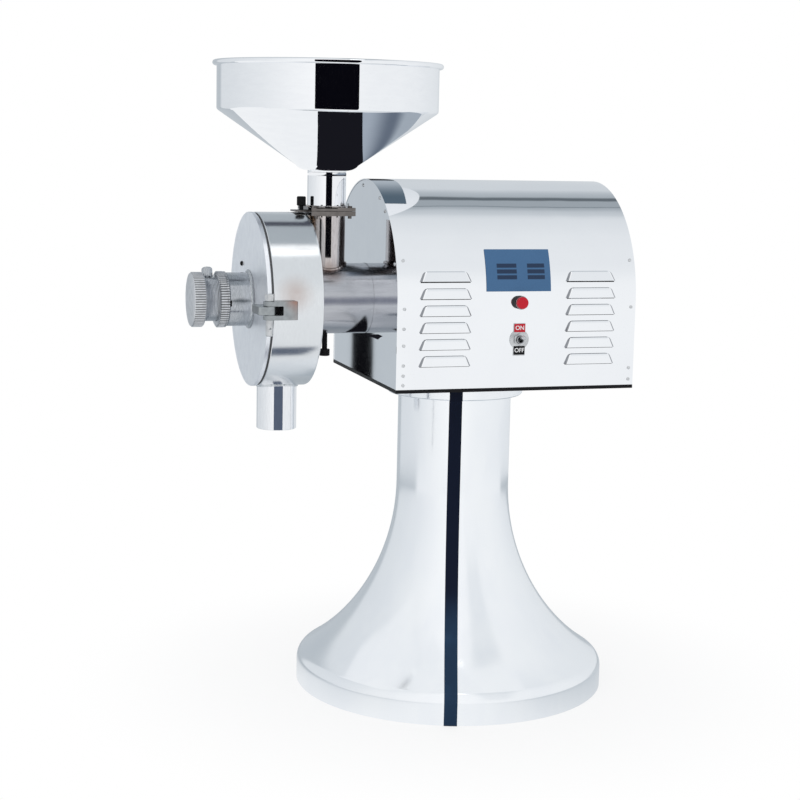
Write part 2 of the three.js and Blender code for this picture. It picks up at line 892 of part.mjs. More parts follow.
function motorFrame() {
  const frame = pipe('x', motorRadius, motorRadius - motorWall, frameLeft, frameRight, motorRound);
  const middle = (frameLeft + frameRight) / 2;
  const rib = block(around(middle, ribLength), around(0, ribThickness),
    [motorRadius - motorWall / 2, motorRadius + ribRise]);
  const ribs = [];
  for (let i = 0; i < ribCount; i += 1) {
    const turn = (360 * i) / ribCount;
    const clearOfFeet = Math.abs(turn - footTurn) > ribFootTurn;
    const clearOfCapacitor = Math.abs(turn - (360 - capacitorTurn)) > ribCapacitorTurn;
    if (clearOfFeet && clearOfCapacitor) ribs.push(rib.rotate([turn, 0, 0]));
  }
  const footX = around(middle, footLength);
  const pad = block(footX, around(0, footWidth), [motorFloor, motorFloor + footThickness]);
  const pillar = block(footX, around(0, pillarWidth), [motorFloor, -footReach]);
  const bore = rod('x', motorRadius - motorWall / 2, frameLeft - overrun, frameRight + overrun, motorRound);
  return joined([pad.add(pillar).subtract(bore), frame, ...ribs]);
}
piece(head, 'motor_frame', motorFrame(), motorGrey);

function bell(from, to) {
  return pipe('x', bellRadius, spindleRadius + 2 * runGap, from, to, motorRound);
}
piece(head, 'motor_front_bell', bell(motorLeft + seatGap, frameLeft - seatGap), motorGrey);
piece(head, 'motor_rear_bell', bell(frameRight + seatGap, bellRight), motorGrey);

function capacitor() {
  const reach = motorRadius + seatGap + capacitorRadius;
  const middle = (frameLeft + frameRight) / 2;
  const can = rod('x', capacitorRadius, ...around(middle, capacitorLength),
    { at: [0, 0, reach], facets: smallFacets });
  const clip = block(around(middle, capacitorClipLength), around(0, capacitorClipWidth),
    [motorRadius - motorWall, reach]);
  const saddle = rod('x', motorRadius + seatGap, frameLeft, frameRight, motorRound);
  return can.add(clip).rotate([-capacitorTurn, 0, 0]).subtract(saddle);
}
piece(head, 'run_capacitor', capacitor(), blackPlastic);

function coolingFan() {
  const bore = fanShaftRadius + runGap;
  const hub = pipe('x', fanHub, bore, fanLeft, fanLeft + fanLength, { facets: smallFacets });
  const disc = pipe('x', fanRadius, bore, fanLeft, fanLeft + fanBladeThickness, motorRound);
  const blade = block([fanLeft, fanLeft + fanLength], around(0, fanBladeThickness),
    [fanBladeRoot, fanRadius]);
  const blades = [];
  for (let i = 0; i < fanBlades; i += 1) blades.push(blade.rotate([(360 * i) / fanBlades, 0, 0]));
  return joined([hub, disc, ...blades]);
}
piece(head, 'cooling_fan', coolingFan(), blackPlastic);

function fanCowl() {
  const from = bellRight - cowlOverlap;
  const to = bellRight + cowlLength;
  const outer = bellRadius + seatGap + cowlSheet;
  return revolve('x', [
    [bellRadius + seatGap, from],
    [outer, from],
    [outer, to],
    [cowlVentRadius, to],
    [cowlVentRadius, to - cowlSheet],
    [bellRadius + seatGap, to - cowlSheet],
  ], { ...motorRound, closed: true });
}
piece(head, 'fan_cowl', fanCowl(), motorGrey);

// Spindle: the motor's shaft runs through the tube and carries the auger and the disc.
function spindle() {
  const shoulder = rotatingFront + rotatingThickness + seatGap;
  const fanEnd = fanLeft + fanLength;
  return revolve('x', [
    [0, noseEnd],
    [noseRadius, noseEnd],
    [noseRadius, shoulder],
    [spindleRadius, shoulder],
    [spindleRadius, bellRight],
    [fanShaftRadius, bellRight],
    [fanShaftRadius, fanEnd],
    [0, fanEnd],
  ], { facets: smallFacets });
}
piece(head, 'spindle', spindle(), satinSteel);

function helixFlight(inner, outer, thickness, pitch, turns) {
  const count = augerSteps * turns;
  const positions = [];
  for (let i = 0; i <= count; i += 1) {
    const angle = (2 * Math.PI * i) / augerSteps;
    const along = (pitch * i) / augerSteps;
    for (const [radius, side] of [[inner, 0], [outer, 0], [outer, 1], [inner, 1]]) {
      positions.push(along + side * thickness, radius * Math.cos(angle), radius * Math.sin(angle));
    }
  }
  const index = [0, 1, 2, 0, 2, 3];
  for (let i = 0; i < count; i += 1) {
    for (let j = 0; j < 4; j += 1) {
      const [a, b] = [4 * i + j, 4 * i + ((j + 1) % 4)];
      index.push(a, a + 4, b + 4, a, b + 4, b);
    }
  }
  const last = 4 * count;
  index.push(last, last + 2, last + 1, last, last + 3, last + 2);
  const geometry = new THREE.BufferGeometry();
  geometry.setAttribute('position', new THREE.BufferAttribute(new Float32Array(positions), 3));
  geometry.setIndex(index);
  return solid(geometry);
}

function feedAuger() {
  const from = stationaryFace;
  const length = augerPitch * augerTurns + augerFlight;
  const flight = helixFlight(augerRoot, augerRadius, augerFlight, augerPitch, augerTurns);
  const core = rod('x', augerCore, 0, length, { facets: smallFacets });
  const bore = rod('x', spindleRadius + seatGap, -overrun, length + overrun, { facets: smallFacets });
  return moved(core.add(flight).subtract(bore), from, 0, 0);
}
piece(head, 'feed_auger', feedAuger(), satinSteel);

// Bearing tube, its bearings and seal
const tubeLeft = drumBack + seatGap;
const tubeRight = motorLeft;

function bearingTube() {
  const tube = pipe('x', tubeRadius, tubeBore, tubeLeft, tubeRight);
  const flange = pipe('x', tubeFlangeRadius, tubeBore, tubeRight - tubeFlangeThickness, tubeRight);
  const feedHole = rod('z', feedPipeRadius - pipeWall, 0, tubeRadius + overrun, { at: [feedX, 0, 0] });
  const boltHole = rod('z', tubeBoltRadius + runGap, -tubeRadius - overrun, 0,
    { at: [feedX, 0, 0], facets: smallFacets });
  return tube.add(flange).subtract(feedHole).subtract(boltHole);
}
piece(head, 'bearing_tube', bearingTube(), satinSteel);

function bearing(from) {
  return pipe('x', tubeBore - seatGap, spindleRadius + seatGap, from, from + bearingWidth);
}
const rearBearing = tubeRight - bearingWidth;
const frontBearing = rearBearing - bearingSpacing - bearingWidth;
piece(head, 'rear_bearing', bearing(rearBearing), satinSteel);
piece(head, 'front_bearing', bearing(frontBearing), satinSteel);
piece(head, 'shaft_seal', pipe('x', tubeBore - seatGap, spindleRadius + seatGap,
  frontBearing - seatGap - sealWidth, frontBearing - seatGap), siliconeGrey);

function tubeBolt() {
  const top = -tubeBore;
  const below = -tubeRadius - tubeBoltLength;
  const shank = rod('z', tubeBoltRadius, below, top, { facets: smallFacets });
  const cap = rod('z', tubeBoltHead, below - tubeBoltHeadHeight, below, { facets: smallFacets });
  const socket = extrude('z', hexagon(tubeBoltRadius), below - tubeBoltHeadHeight - overrun,
    below - tubeBoltHeadHeight / 2);
  return moved(shank.add(cap).subtract(socket), feedX, 0, 0);
}
piece(head, 'tube_bolt', tubeBolt(), blackPaint);

// Feed pipe with the lower flange and its rails
const feed = new THREE.Group();
feed.position.x = feedX;
head.add(feed);
const flangeX = around(0, flangeLength);
const flangeY = around(0, flangeWidth);

function flangeBoltPlaces() {
  const places = [];
  for (const x of [flangeX[0] + flangeBoltInset, flangeX[1] - flangeBoltInset]) {
    for (const y of [flangeY[0] + gateRail / 2, flangeY[1] - gateRail / 2]) places.push([x, y]);
  }
  return places;
}

function feedPipe() {
  const bore = feedPipeRadius - pipeWall;
  const tube = rod('z', feedPipeRadius, 0, lowerFlangeTop);
  const plate = block(flangeX, flangeY, [lowerFlangeBottom, lowerFlangeTop]);
  const rails = [
    block(flangeX, [flangeY[0], flangeY[0] + gateRail], [lowerFlangeBottom, gateTop]),
    block(flangeX, [flangeY[1] - gateRail, flangeY[1]], [lowerFlangeBottom, gateTop]),
  ];
  const hollow = rod('z', bore, -overrun, lowerFlangeTop + overrun);
  const saddle = rod('x', tubeRadius + seatGap, flangeX[0] - overrun, flangeX[1] + overrun);
  const holes = flangeBoltPlaces().map(([x, y]) => rod('z', flangeBoltRadius + runGap,
    lowerFlangeBottom - overrun, gateTop + overrun, { at: [x, y, 0], facets: boltFacets }));
  return joined([tube, plate, ...rails]).subtract(joined([hollow, saddle, ...holes]));
}
piece(feed, 'feed_pipe', feedPipe(), satinSteel);

// Slide gate, drawn shut; it pulls out over the drum
function slideGate() {
  const half = flangeWidth / 2 - gateRail - runGap;
  const plate = block([flangeX[0], flangeX[1] - gateRail / 2], [-half, half], [gateBottom, gateTop]);
  const tongue = block([flangeX[0] - gateTongue, 0], around(0, gateTongueWidth), [gateBottom, gateTop]);
  return plate.add(tongue);
}
piece(feed, 'slide_gate', slideGate(), satinSteel);

function gateKnob() {
  const foot = gateTop + seatGap;
  const top = foot + gateKnobRise + gateKnobHeight;
  const stem = rod('z', gateKnobStem, foot, foot + gateKnobRise + gateKnobHeight / 2,
    { facets: smallFacets });
  const grip = extrude('z', ridged(smallFacets, gateKnobRadius, gateKnobRidge), foot + gateKnobRise, top);
  return moved(stem.add(grip), flangeX[0] - gateKnobRadius - runGap, gateKnobY, 0);
}
piece(feed, 'gate_knob', gateKnob(), blackPlastic);

// Hopper neck with the upper flange and its four bolts
function hopperNeck() {
  const bore = neckPipeRadius - pipeWall;
  const tube = rod('z', neckPipeRadius, upperFlangeBottom, bowlFoot - seatGap);
  const plate = block(flangeX, flangeY, [upperFlangeBottom, upperFlangeTop]);
  const hollow = rod('z', bore, upperFlangeBottom - overrun, bowlFoot + overrun);
  const bolts = flangeBoltPlaces().map(([x, y]) => {
    const cap = extrude('z', hexagon(flangeBoltHead), upperFlangeBottom + upperFlangeThickness / 2,
      upperFlangeTop + flangeBoltHeight);
    const shank = rod('z', flangeBoltRadius, lowerFlangeBottom - flangeBoltHeight,
      upperFlangeTop, { facets: boltFacets });
    return moved(cap.add(shank), x, y, 0);
  });
  return joined([tube.add(plate).subtract(hollow), ...bolts]);
}
piece(feed, 'hopper_neck', hopperNeck(), mirrorSteel);

// Hopper bowl: a cone under a drum, with a rolled rim; one sheet turned about the feed axis
function bowlOutline(inset) {
  const points = [[neckPipeRadius - inset, bowlFoot]];
  const bulgeTurn = radians(bowlBulgeTurn);
  const steps = 2;
  for (let i = 0; i <= steps; i += 1) {
    const angle = (bulgeTurn * i) / steps;
    const outShare = Math.sin(angle) / Math.sin(bulgeTurn);
    const upShare = (1 - Math.cos(angle)) / (1 - Math.cos(bulgeTurn));
    points.push([
      neckPipeRadius + (coneFootRadius - neckPipeRadius) * outShare - inset,
      bowlFoot + bowlStub + (coneFootRise - bowlStub) * upShare,
    ]);
  }
  return [...points, [bowlRadius - inset, coneTop], [bowlRadius - inset, bowlTop]];
}

function hopperBowl() {
  const beadSides = 6;
  const bead = Array.from({ length: beadSides }, (_, i) => [
    bowlRadius - bowlSheet + rimBead * (1 + Math.cos((2 * Math.PI * i) / beadSides)),
    bowlTop + rimBead * Math.sin((2 * Math.PI * i) / beadSides),
  ]);
  const rim = revolve('z', bead, { facets: largeFacets, closed: true });
  const wall = revolve('z', [...bowlOutline(0), ...bowlOutline(bowlSheet).reverse()],
    { facets: largeFacets, closed: true });
  return wall.add(rim);
}
piece(feed, 'hopper_bowl', hopperBowl(), mirrorSteel);

// Grinding drum
function drum() {
  const shell = revolve('x', [
    [tubeBore, drumBack],
    [drumRadius, drumBack],
    [drumRadius, drumFront],
    [drumRadius - drumWall, drumFront],
    [drumRadius - drumWall, drumBack - drumBackWall],
    [tubeBore, drumBack - drumBackWall],
  ], { facets: largeFacets, closed: true });
  const outlet = rod('z', spoutRadius - pipeWall, -drumRadius - overrun, 0, { at: [spoutX, 0, 0] });
  return shell.subtract(outlet);
}
piece(head, 'drum', drum(), satinSteel);
piece(head, 'drum_gasket', pipe('x', drumRadius - seatGap, drumRadius - drumWall + seatGap,
  drumFront - seatGap - gasketThickness, drumFront - seatGap, { facets: largeFacets }), siliconeGrey);

function outletSpout() {
  const tube = pipe('z', spoutRadius, spoutRadius - pipeWall, -spoutEnd, 0, { at: [spoutX, 0, 0] });
  const drumSpace = rod('x', drumRadius + seatGap, ...around(spoutX, 4 * spoutRadius),
    { facets: largeFacets });
  return tube.subtract(drumSpace);
}
piece(head, 'outlet_spout', outletSpout(), mirrorSteel);

// Grinding discs
function teeth(rings, face, direction) {
  const bars = [];
  const [from, to] = [face - direction * toothRoot, face + direction * toothRise];
  for (const radius of rings) {
    const count = Math.floor((2 * Math.PI * radius) / toothSpacing);
    const span = [Math.min(from, to), Math.max(from, to)];
    const tooth = block(span, around(0, toothWidth), around(radius, toothRadial));
    for (let i = 0; i < count; i += 1) bars.push(tooth.rotate([(360 * i) / count, 0, 0]));
  }
  return joined(bars);
}

piece(head, 'stationary_disc', pipe('x', discRadius, tubeBore, stationaryFace, stationaryBack)
  .add(teeth(stationaryRings, stationaryFace, -1)), darkSteel);
piece(head, 'rotating_disc', pipe('x', discRadius, noseRadius + seatGap, rotatingFront, rotatingFace)
  .add(teeth(rotatingRings, rotatingFace, 1)), darkSteel);
piece(head, 'disc_nut', extrude('x', hexagon(discNutRadius), nutRear - discNutThickness, nutRear)
  .subtract(rod('x', noseRadius + seatGap, nutRear - discNutThickness - overrun, nutRear + overrun,
    { facets: smallFacets })), brassColour);

// Front cover
function frontCover() {
  const bore = sleeveRadius + runGap;
  const spigot = drumRadius - drumWall - spigotPlay;
  return revolve('x', [
    [bore, coverFront],
    [drumRadius, coverFront],
    [drumRadius, coverBack],
    [spigot, coverBack],
    [spigot, coverBack + spigotDepth],
    [spigot - spigotWidth, coverBack + spigotDepth],
    [spigot - spigotWidth, coverBack],
    [bore, coverBack],
  ], { facets: largeFacets, closed: true });
}
piece(head, 'front_cover', frontCover(), mirrorSteel);

function coverBoss() {
  const bore = sleeveRadius + runGap;
  const tube = revolve('x', [
    [bore, bossEnd],
    [bossRadius, bossEnd],
    [bossRadius, bossFoot - bossFootHeight],
    [bossRadius + bossFootWidth, bossFoot - bossFootHeight / 2],
    [bossRadius + bossFootWidth, bossFoot],
    [bore, bossFoot],
  ], { closed: true });
  const slot = block([bossEnd - overrun, bossEnd + bossSlotLength],
    [-bossRadius - overrun, -bossRadius + bossSlotDepth], around(hingeMiddle, bossSlotWidth));
  return tube.subtract(slot);
}
piece(head, 'cover_boss', coverBoss(), satinSteel);

function coverPlug() {
  const face = coverFront - seatGap;
  const profile = [
    [0, face],
    [plugRadius, face],
    [plugRadius, face - plugRim],
    [plugTopRadius, face - plugHeight],
    [0, face - plugHeight],
  ].reverse();
  const at = [0, plugCircle * Math.cos(radians(plugTurn)), plugCircle * Math.sin(radians(plugTurn))];
  return revolve('x', profile, { at, facets: smallFacets });
}
piece(head, 'cover_plug', coverPlug(), blackPlastic);

// Adjuster: a sleeve in the boss with its knob, thrust pad, lock ring and side screw
function adjusterSleeve() {
  const back = knobBack + seatGap;
  const body = rod('x', sleeveRadius, back, sleeveInner);
  const bore = rod('x', sleeveBore, back - overrun, sleeveInner - sleeveFloor);
  return body.subtract(bore);
}
piece(head, 'adjuster_sleeve', adjusterSleeve(), satinSteel);

function adjusterKnob() {
  const front = knobBack - knobLength;
  const wheel = extrude('x', ridged(knobRidges, knobRadius, ridgeDepth), front, knobBack);
  const dome = revolve('x', [
    [0, front],
    [knobRadius - knobChamfer, front + knobDome],
    [knobRadius + overrun, front + knobDome + knobChamfer + overrun],
    [knobRadius + overrun, knobBack],
    [0, knobBack],
  ]);
  return wheel.intersect(dome);
}
piece(head, 'adjuster_knob', adjusterKnob(), satinSteel);

function lockRing() {
  const wheel = extrude('x', ridged(ringRidges, lockRingRadius, ridgeDepth), ringFront, ringBack);
  const bore = rod('x', sleeveRadius + runGap, ringFront - overrun, ringBack + overrun);
  return wheel.subtract(bore);
}
piece(head, 'lock_ring', lockRing(), satinSteel);

piece(head, 'thrust_pad', rod('x', padRadius, sleeveInner + seatGap, padFace), brassColour);

function knobScrew() {
  const foot = sleeveRadius + seatGap;
  const base = foot + knobScrewRise;
  const top = base + knobScrewHeight;
  const profile = [
    [0, foot],
    [knobScrewStem, foot],
    [knobScrewStem, base],
    [knobScrewRadius, base],
    [knobScrewRadius, top - knobScrewBevel],
    [knobScrewRadius - knobScrewBevel, top],
    [0, top],
  ];
  const screw = revolve('z', profile, { facets: smallFacets });
  return moved(screw.rotate([-knobScrewTurn, 0, 0]), (knobBack + ringFront) / 2, 0, 0);
}
piece(head, 'knob_screw', knobScrew(), satinSteel);

// Cover hinge: a slotted bracket on the drum, a pin, and a tongue on the cover
const tongueZ = around(hingeMiddle, hingeTongueThickness);
const slotZ = around(hingeMiddle, hingeTongueThickness + 2 * seatGap);
const bracketZ = around(hingeMiddle, hingeTongueThickness + 2 * seatGap + 2 * hingeArm);

function besideDrum() {
  return rod('x', drumRadius + seatGap, coverFront - 4 * overrun, drumBack + overrun,
    { facets: largeFacets });
}

function hingeBracket() {
  const outer = hingeY - hingeEyeRadius;
  const body = block([hingeX, hingeX + hingeBracketLength], [outer, 0], bracketZ);
  const eye = rod('z', hingeEyeRadius, ...bracketZ, { at: [hingeX, hingeY, 0], facets: smallFacets });
  const slot = block([hingeX - 2 * hingeEyeRadius, hingeX + hingeSlotLength], [outer - overrun, 0], slotZ);
  const pinHole = rod('z', hingePinRadius + seatGap, bracketZ[0] - overrun, bracketZ[1] + overrun,
    { at: [hingeX, hingeY, 0], facets: smallFacets });
  return body.add(eye).subtract(joined([slot, pinHole, besideDrum()]));
}
piece(head, 'hinge_bracket', hingeBracket(), satinSteel);

function hingePin() {
  const headBottom = bracketZ[1] + seatGap;
  const shank = rod('z', hingePinRadius, hingePinEnd, headBottom + hingeHeadHeight / 2,
    { facets: smallFacets });
  const cap = extrude('z', hexagon(hingeHead), headBottom, headBottom + hingeHeadHeight);
  const crossHole = rod('y', hingeCrossHole, -2 * hingePinRadius, 2 * hingePinRadius,
    { at: [0, 0, hingePinEnd + hingeCrossHoleRise], facets: boltFacets });
  return moved(shank.add(cap).subtract(crossHole), hingeX, hingeY, 0);
}
piece(head, 'hinge_pin', hingePin(), satinSteel);

function hingeTongue() {
  const face = coverFront - seatGap;
  const outer = hingeY - hingeEyeRadius;
  const eye = rod('z', hingeEyeRadius, ...tongueZ, { at: [hingeX, hingeY, 0], facets: smallFacets });
  const strap = block([hingeX - tongueForward, face], [outer, hingeY + tongueReach], tongueZ);
  const pinHole = rod('z', hingePinRadius + seatGap, tongueZ[0] - overrun, tongueZ[1] + overrun,
    { at: [hingeX, hingeY, 0], facets: smallFacets });
  return eye.add(strap).subtract(pinHole);
}
piece(head, 'hinge_tongue', hingeTongue(), satinSteel);

// Swing bolt on the far side, drawn swung clear of the cover's ear
const lockSlotZ = around(0, lockEyeThickness + 2 * seatGap);
const lockBracketZ = around(0, lockEyeThickness + 2 * seatGap + 2 * lockArm);

function lockBracket() {
  const outer = lockY + lockEyeRadius;
  const body = block([lockX - lockEyeRadius, lockX + lockBracketLength], [0, outer], lockBracketZ);
  const slot = block([lockX - 2 * lockEyeRadius, lockX + lockSlotLength], [0, outer + overrun], lockSlotZ);
  const pinHole = rod('z', lockPinRadius + seatGap, lockBracketZ[0] - overrun, lockBracketZ[1] + overrun,
    { at: [lockX, lockY, 0], facets: smallFacets });
  return body.subtract(joined([slot, pinHole, besideDrum()]));
}
piece(head, 'lock_bracket', lockBracket(), satinSteel);

function lockPin() {
  const bottom = lockBracketZ[0] - lockPinHeadHeight;
  const top = lockBracketZ[1] + seatGap;
  return revolve('z', [
    [0, bottom],
    [lockPinRadius, bottom],
    [lockPinRadius, top],
    [lockPinHead, top],
    [lockPinHead, top + lockPinHeadHeight],
    [0, top + lockPinHeadHeight],
  ], { at: [lockX, lockY, 0], facets: smallFacets });
}
piece(head, 'lock_pin', lockPin(), satinSteel);

const lockArmGroup = new THREE.Group();
lockArmGroup.position.set(lockX, lockY, 0);
head.add(lockArmGroup);

function eyeBolt() {
  const eye = rod('z', lockEyeRadius, ...around(0, lockEyeThickness), { facets: smallFacets });
  const shank = rod('y', lockBoltRadius, 0, lockBoltLength, { facets: smallFacets });
  const hole = rod('z', lockPinRadius + seatGap, -lockEyeThickness, lockEyeThickness,
    { facets: smallFacets });
  return eye.add(shank).subtract(hole);
}
piece(lockArmGroup, 'eye_bolt', eyeBolt(), satinSteel);

function lockKnob() {
  const earFront = coverFront - seatGap - earThickness;
  const from = lockX - earFront + lockKnobPlay;
  const grip = extrude('y', ridged(lockKnobLobes, lockKnobRadius, lockKnobLobe),
    from, from + lockKnobLength);
  const bore = rod('y', lockBoltRadius + seatGap, from - overrun, from + lockKnobLength + overrun,
    { facets: smallFacets });
  return grip.subtract(bore);
}
piece(lockArmGroup, 'lock_knob', lockKnob(), blackPlastic);

function lockEar() {
  const face = coverFront - seatGap;
  const outer = lockY + lockEyeRadius;
  const lug = block([face - earThickness, face], [outer - earReach, outer], around(0, earHeight));
  const slot = block([face - earThickness - overrun, face + overrun], [outer - earSlotDepth, outer + overrun],
    around(0, 2 * (lockBoltRadius + earSlotPlay)));
  return lug.subtract(slot);
}
piece(head, 'lock_ear', lockEar(), satinSteel);

export default mill;
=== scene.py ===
from math import asin, ceil, cos, pi, radians, sin, sqrt
import bmesh
import bpy
from mathutils import Matrix, Vector


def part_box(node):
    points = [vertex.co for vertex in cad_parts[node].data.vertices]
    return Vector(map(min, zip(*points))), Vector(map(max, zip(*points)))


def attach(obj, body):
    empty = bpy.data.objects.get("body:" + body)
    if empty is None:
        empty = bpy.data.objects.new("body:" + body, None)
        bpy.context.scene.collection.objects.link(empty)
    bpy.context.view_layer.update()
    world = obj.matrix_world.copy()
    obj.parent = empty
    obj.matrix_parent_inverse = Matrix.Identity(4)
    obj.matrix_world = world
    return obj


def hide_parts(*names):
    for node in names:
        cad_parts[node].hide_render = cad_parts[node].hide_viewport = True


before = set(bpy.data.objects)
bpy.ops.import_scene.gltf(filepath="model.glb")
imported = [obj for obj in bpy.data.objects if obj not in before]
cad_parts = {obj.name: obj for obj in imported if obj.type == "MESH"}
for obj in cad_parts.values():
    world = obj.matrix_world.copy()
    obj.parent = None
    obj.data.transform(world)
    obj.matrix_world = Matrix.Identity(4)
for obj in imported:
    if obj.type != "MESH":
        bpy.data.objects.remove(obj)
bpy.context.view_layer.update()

# Lengths below are in millimetres; meshes are written in metres.
MM = 0.001
scene = bpy.context.scene

# Places and sizes that several pieces share
SPINDLE_Z, FEED_X, SPOUT_X = 572.0, -198.5, -268.0
SPINDLE, FEED, SPOUT = (0, 0, SPINDLE_Z), (FEED_X, 0, 0), (SPOUT_X, 0, 0)
TUBE_RADIUS, DRUM_RADIUS = 50.0, 122.0
KNURLS = 66
GAP = 0.3

# Camera, from the fit to the photograph
IMAGE_SIDE = 800
FOCAL_PIXELS = 1740.8
SENSOR = 36.0
AZIMUTH, ELEVATION, ROLL = radians(-17.4), radians(8.8), radians(-1.2)
TARGET = Vector((-83.7, 0, 422.5))
DISTANCE = 2534.8


def add_camera():
    """Stands at its distance from the target, looks at it and rolls about the view."""
    back = Vector((sin(AZIMUTH) * cos(ELEVATION), -cos(AZIMUTH) * cos(ELEVATION), sin(ELEVATION)))
    right = (-back).cross(Vector((0, 0, 1))).normalized()
    up = right.cross(-back)
    rolled_right = right * cos(ROLL) - up * sin(ROLL)
    rolled_up = right * sin(ROLL) + up * cos(ROLL)
    data = bpy.data.cameras.new("camera")
    data.sensor_width = SENSOR
    data.lens = FOCAL_PIXELS * SENSOR / IMAGE_SIDE
    data.clip_start, data.clip_end = 0.05, 50
    camera = bpy.data.objects.new("camera", data)
    turn = Matrix((rolled_right, rolled_up, back)).transposed().to_4x4()
    camera.matrix_world = Matrix.Translation((TARGET + back * DISTANCE) * MM) @ turn
    scene.collection.objects.link(camera)
    scene.camera = camera


# Shader writing
class Wire:
    """A wrapped socket; its operators add Math nodes."""

    def __init__(self, tree, socket):
        self.tree, self.socket = tree, socket

    def math(self, operation, *others):
        return node(self.tree, "ShaderNodeMath", {"operation": operation}, dict(enumerate((self, *others))))

    def reflected(self, operation, other):
        """The same with the other value first."""
        return node(self.tree, "ShaderNodeMath", {"operation": operation}, {0: other, 1: self})

    def __add__(self, other):
        return self.math("ADD", other)

    def __radd__(self, other):
        return self.reflected("ADD", other)

    def __sub__(self, other):
        return self.math("SUBTRACT", other)

    def __rsub__(self, other):
        return self.reflected("SUBTRACT", other)

    def __mul__(self, other):
        return self.math("MULTIPLY", other)

    def __rmul__(self, other):
        return self.reflected("MULTIPLY", other)

    def __truediv__(self, other):
        return self.math("DIVIDE", other)

    def __rtruediv__(self, other):
        return self.reflected("DIVIDE", other)

    def __gt__(self, other):
        return self.math("GREATER_THAN", other)

    def __lt__(self, other):
        return self.math("LESS_THAN", other)

    def __abs__(self):
        return self.math("ABSOLUTE")

    def at_most(self, other):
        return self.math("MINIMUM", other)

    def at_least(self, other):
        return self.math("MAXIMUM", other)

    def step(self, low, high):
        """0 below low, 1 above high, smooth between."""
        sockets = {"Value": self, "From Min": low, "From Max": high}
        return node(self.tree, "ShaderNodeMapRange", {"interpolation_type": "SMOOTHSTEP"}, sockets)

    def window(self, low, high, soft):
        """1 between low and high, 0 outside, with soft edges."""
        return self.step(low - soft, low + soft) * (1 - self.step(high - soft, high + soft))


def plug(tree, socket, value):
    """Links a wire to a socket, or sets a constant on it."""
    if isinstance(value, Wire):
        tree.links.new(value.socket, socket)
    elif hasattr(value, "__len__") and len(value) == 3 and socket.type == "RGBA":
        socket.default_value = (*value, 1)
    else:
        socket.default_value = value


def node(tree, kind, settings=None, sockets=None, out=0):
    """Adds a node, sets it up, then fills its sockets; a ramp's stops are one of the settings."""
    made = tree.nodes.new(kind)
    for key, value in (settings or {}).items():
        if key == "stops":
            stops = made.color_ramp.elements
            while len(stops) < len(value):
                stops.new(1)
            for stop, (place, color) in zip(stops, value):
                stop.position, stop.color = place, (*color, 1)
        else:
            setattr(made, key, value)
    for key, value in (sockets or {}).items():
        plug(tree, made.inputs[key], value)
    return Wire(tree, made.outputs[out])


def blend(tree, share, low, high):
    """A colour that goes from low to high with a share; 6, 7 and 2 are the Mix node's colours."""
    return node(tree, "ShaderNodeMix", {"data_type": "RGBA"}, {0: share, 6: low, 7: high}, 2)


def parts_of(tree, place):
    """The x, y and z of a wired vector."""
    return [node(tree, "ShaderNodeSeparateXYZ", sockets={0: place}, out=i) for i in range(3)]


finishes = {}


class Finish:
    """A material with one Principled shader; constants go on the shader's own sockets."""

    def __init__(self, name, slot, **constants):
        self.slot = slot
        self.material = bpy.data.materials.new(name)
        self.material.use_nodes = True
        self.tree = self.material.node_tree
        self.shader = self.tree.nodes["Principled BSDF"]
        self.set(**constants)
        self.place = node(self.tree, "ShaderNodeTexCoord", out="Object")
        self.x, self.y, self.z = parts_of(self.tree, self.place)
        finishes[name] = self

    def set(self, **sockets):
        """Fills sockets of the shader; a socket's name has _ for each space."""
        for key, value in sockets.items():
            plug(self.tree, self.shader.inputs[key.replace("_", " ")], value)

    def noise(self, scale, detail=2, stretch=(1, 1, 1), roughness=0.5):
        """Noise over the object's own space, in metres."""
        where = node(self.tree, "ShaderNodeVectorMath", {"operation": "MULTIPLY"},
                     {0: self.place, 1: stretch})
        sockets = {"Vector": where, "Scale": scale, "Detail": detail, "Roughness": roughness}
        return node(self.tree, "ShaderNodeTexNoise", sockets=sockets)

    def near(self, point, reach):
        """1 at a point, falling to 0 at its reach; both in millimetres."""
        far = node(self.tree, "ShaderNodeVectorMath", {"operation": "DISTANCE"},
                   {0: self.place, 1: Vector(point) * MM}, 1)
        return 1 - far.step(0, reach * MM)

    def blend(self, share, low, high):
        return blend(self.tree, share, low, high)

    def mix(self, share, other):
        """Shows another shader instead of this one, by a share."""
        mixed = node(self.tree, "ShaderNodeMixShader", sockets={
            0: share, 1: Wire(self.tree, self.shader.outputs[0]), 2: other})
        self.tree.links.new(mixed.socket, self.tree.nodes["Material Output"].inputs[0])

    def bump(self, height):
        """Raises the skin by a height in millimetres."""
        sockets = {"Height": height, "Strength": 1, "Distance": MM}
        self.set(Normal=node(self.tree, "ShaderNodeBump", sockets=sockets))


def steel(name, slot, light, dark, rough, spread, grain, stretch=(1, 1, 1), wave=0.0, wave_scale=9,
          tints_and_reflections=(), skin=0.004):
    """Stainless steel: grain varies its colour and roughness, wave bends its reflections.

    Each heat tint and each painted reflection is its middle, its reach, its colour and its share; skin and
    wave are heights.
    """
    made = Finish(name, slot, Metallic=1)
    fine = made.noise(grain, 4, stretch, 0.6)
    broad = made.noise(wave_scale, 2)
    color = made.blend(fine.step(0.3, 0.7), dark, light)
    color = made.blend(broad.step(0.35, 0.7) * 0.35, color, dark)
    roughness = rough + spread * fine + spread * 0.6 * broad
    for middle, reach, patch_color, share in tints_and_reflections:
        mask = made.near(middle, reach) * (0.8 + 0.2 * made.noise(70, 2).step(0.3, 0.6)) * share
        color = made.blend(mask, color, patch_color)
        roughness = roughness + mask * 0.15
    made.color = color
    made.set(Base_Color=color, Roughness=roughness)
    made.bump(fine * skin + broad * wave)
    return made


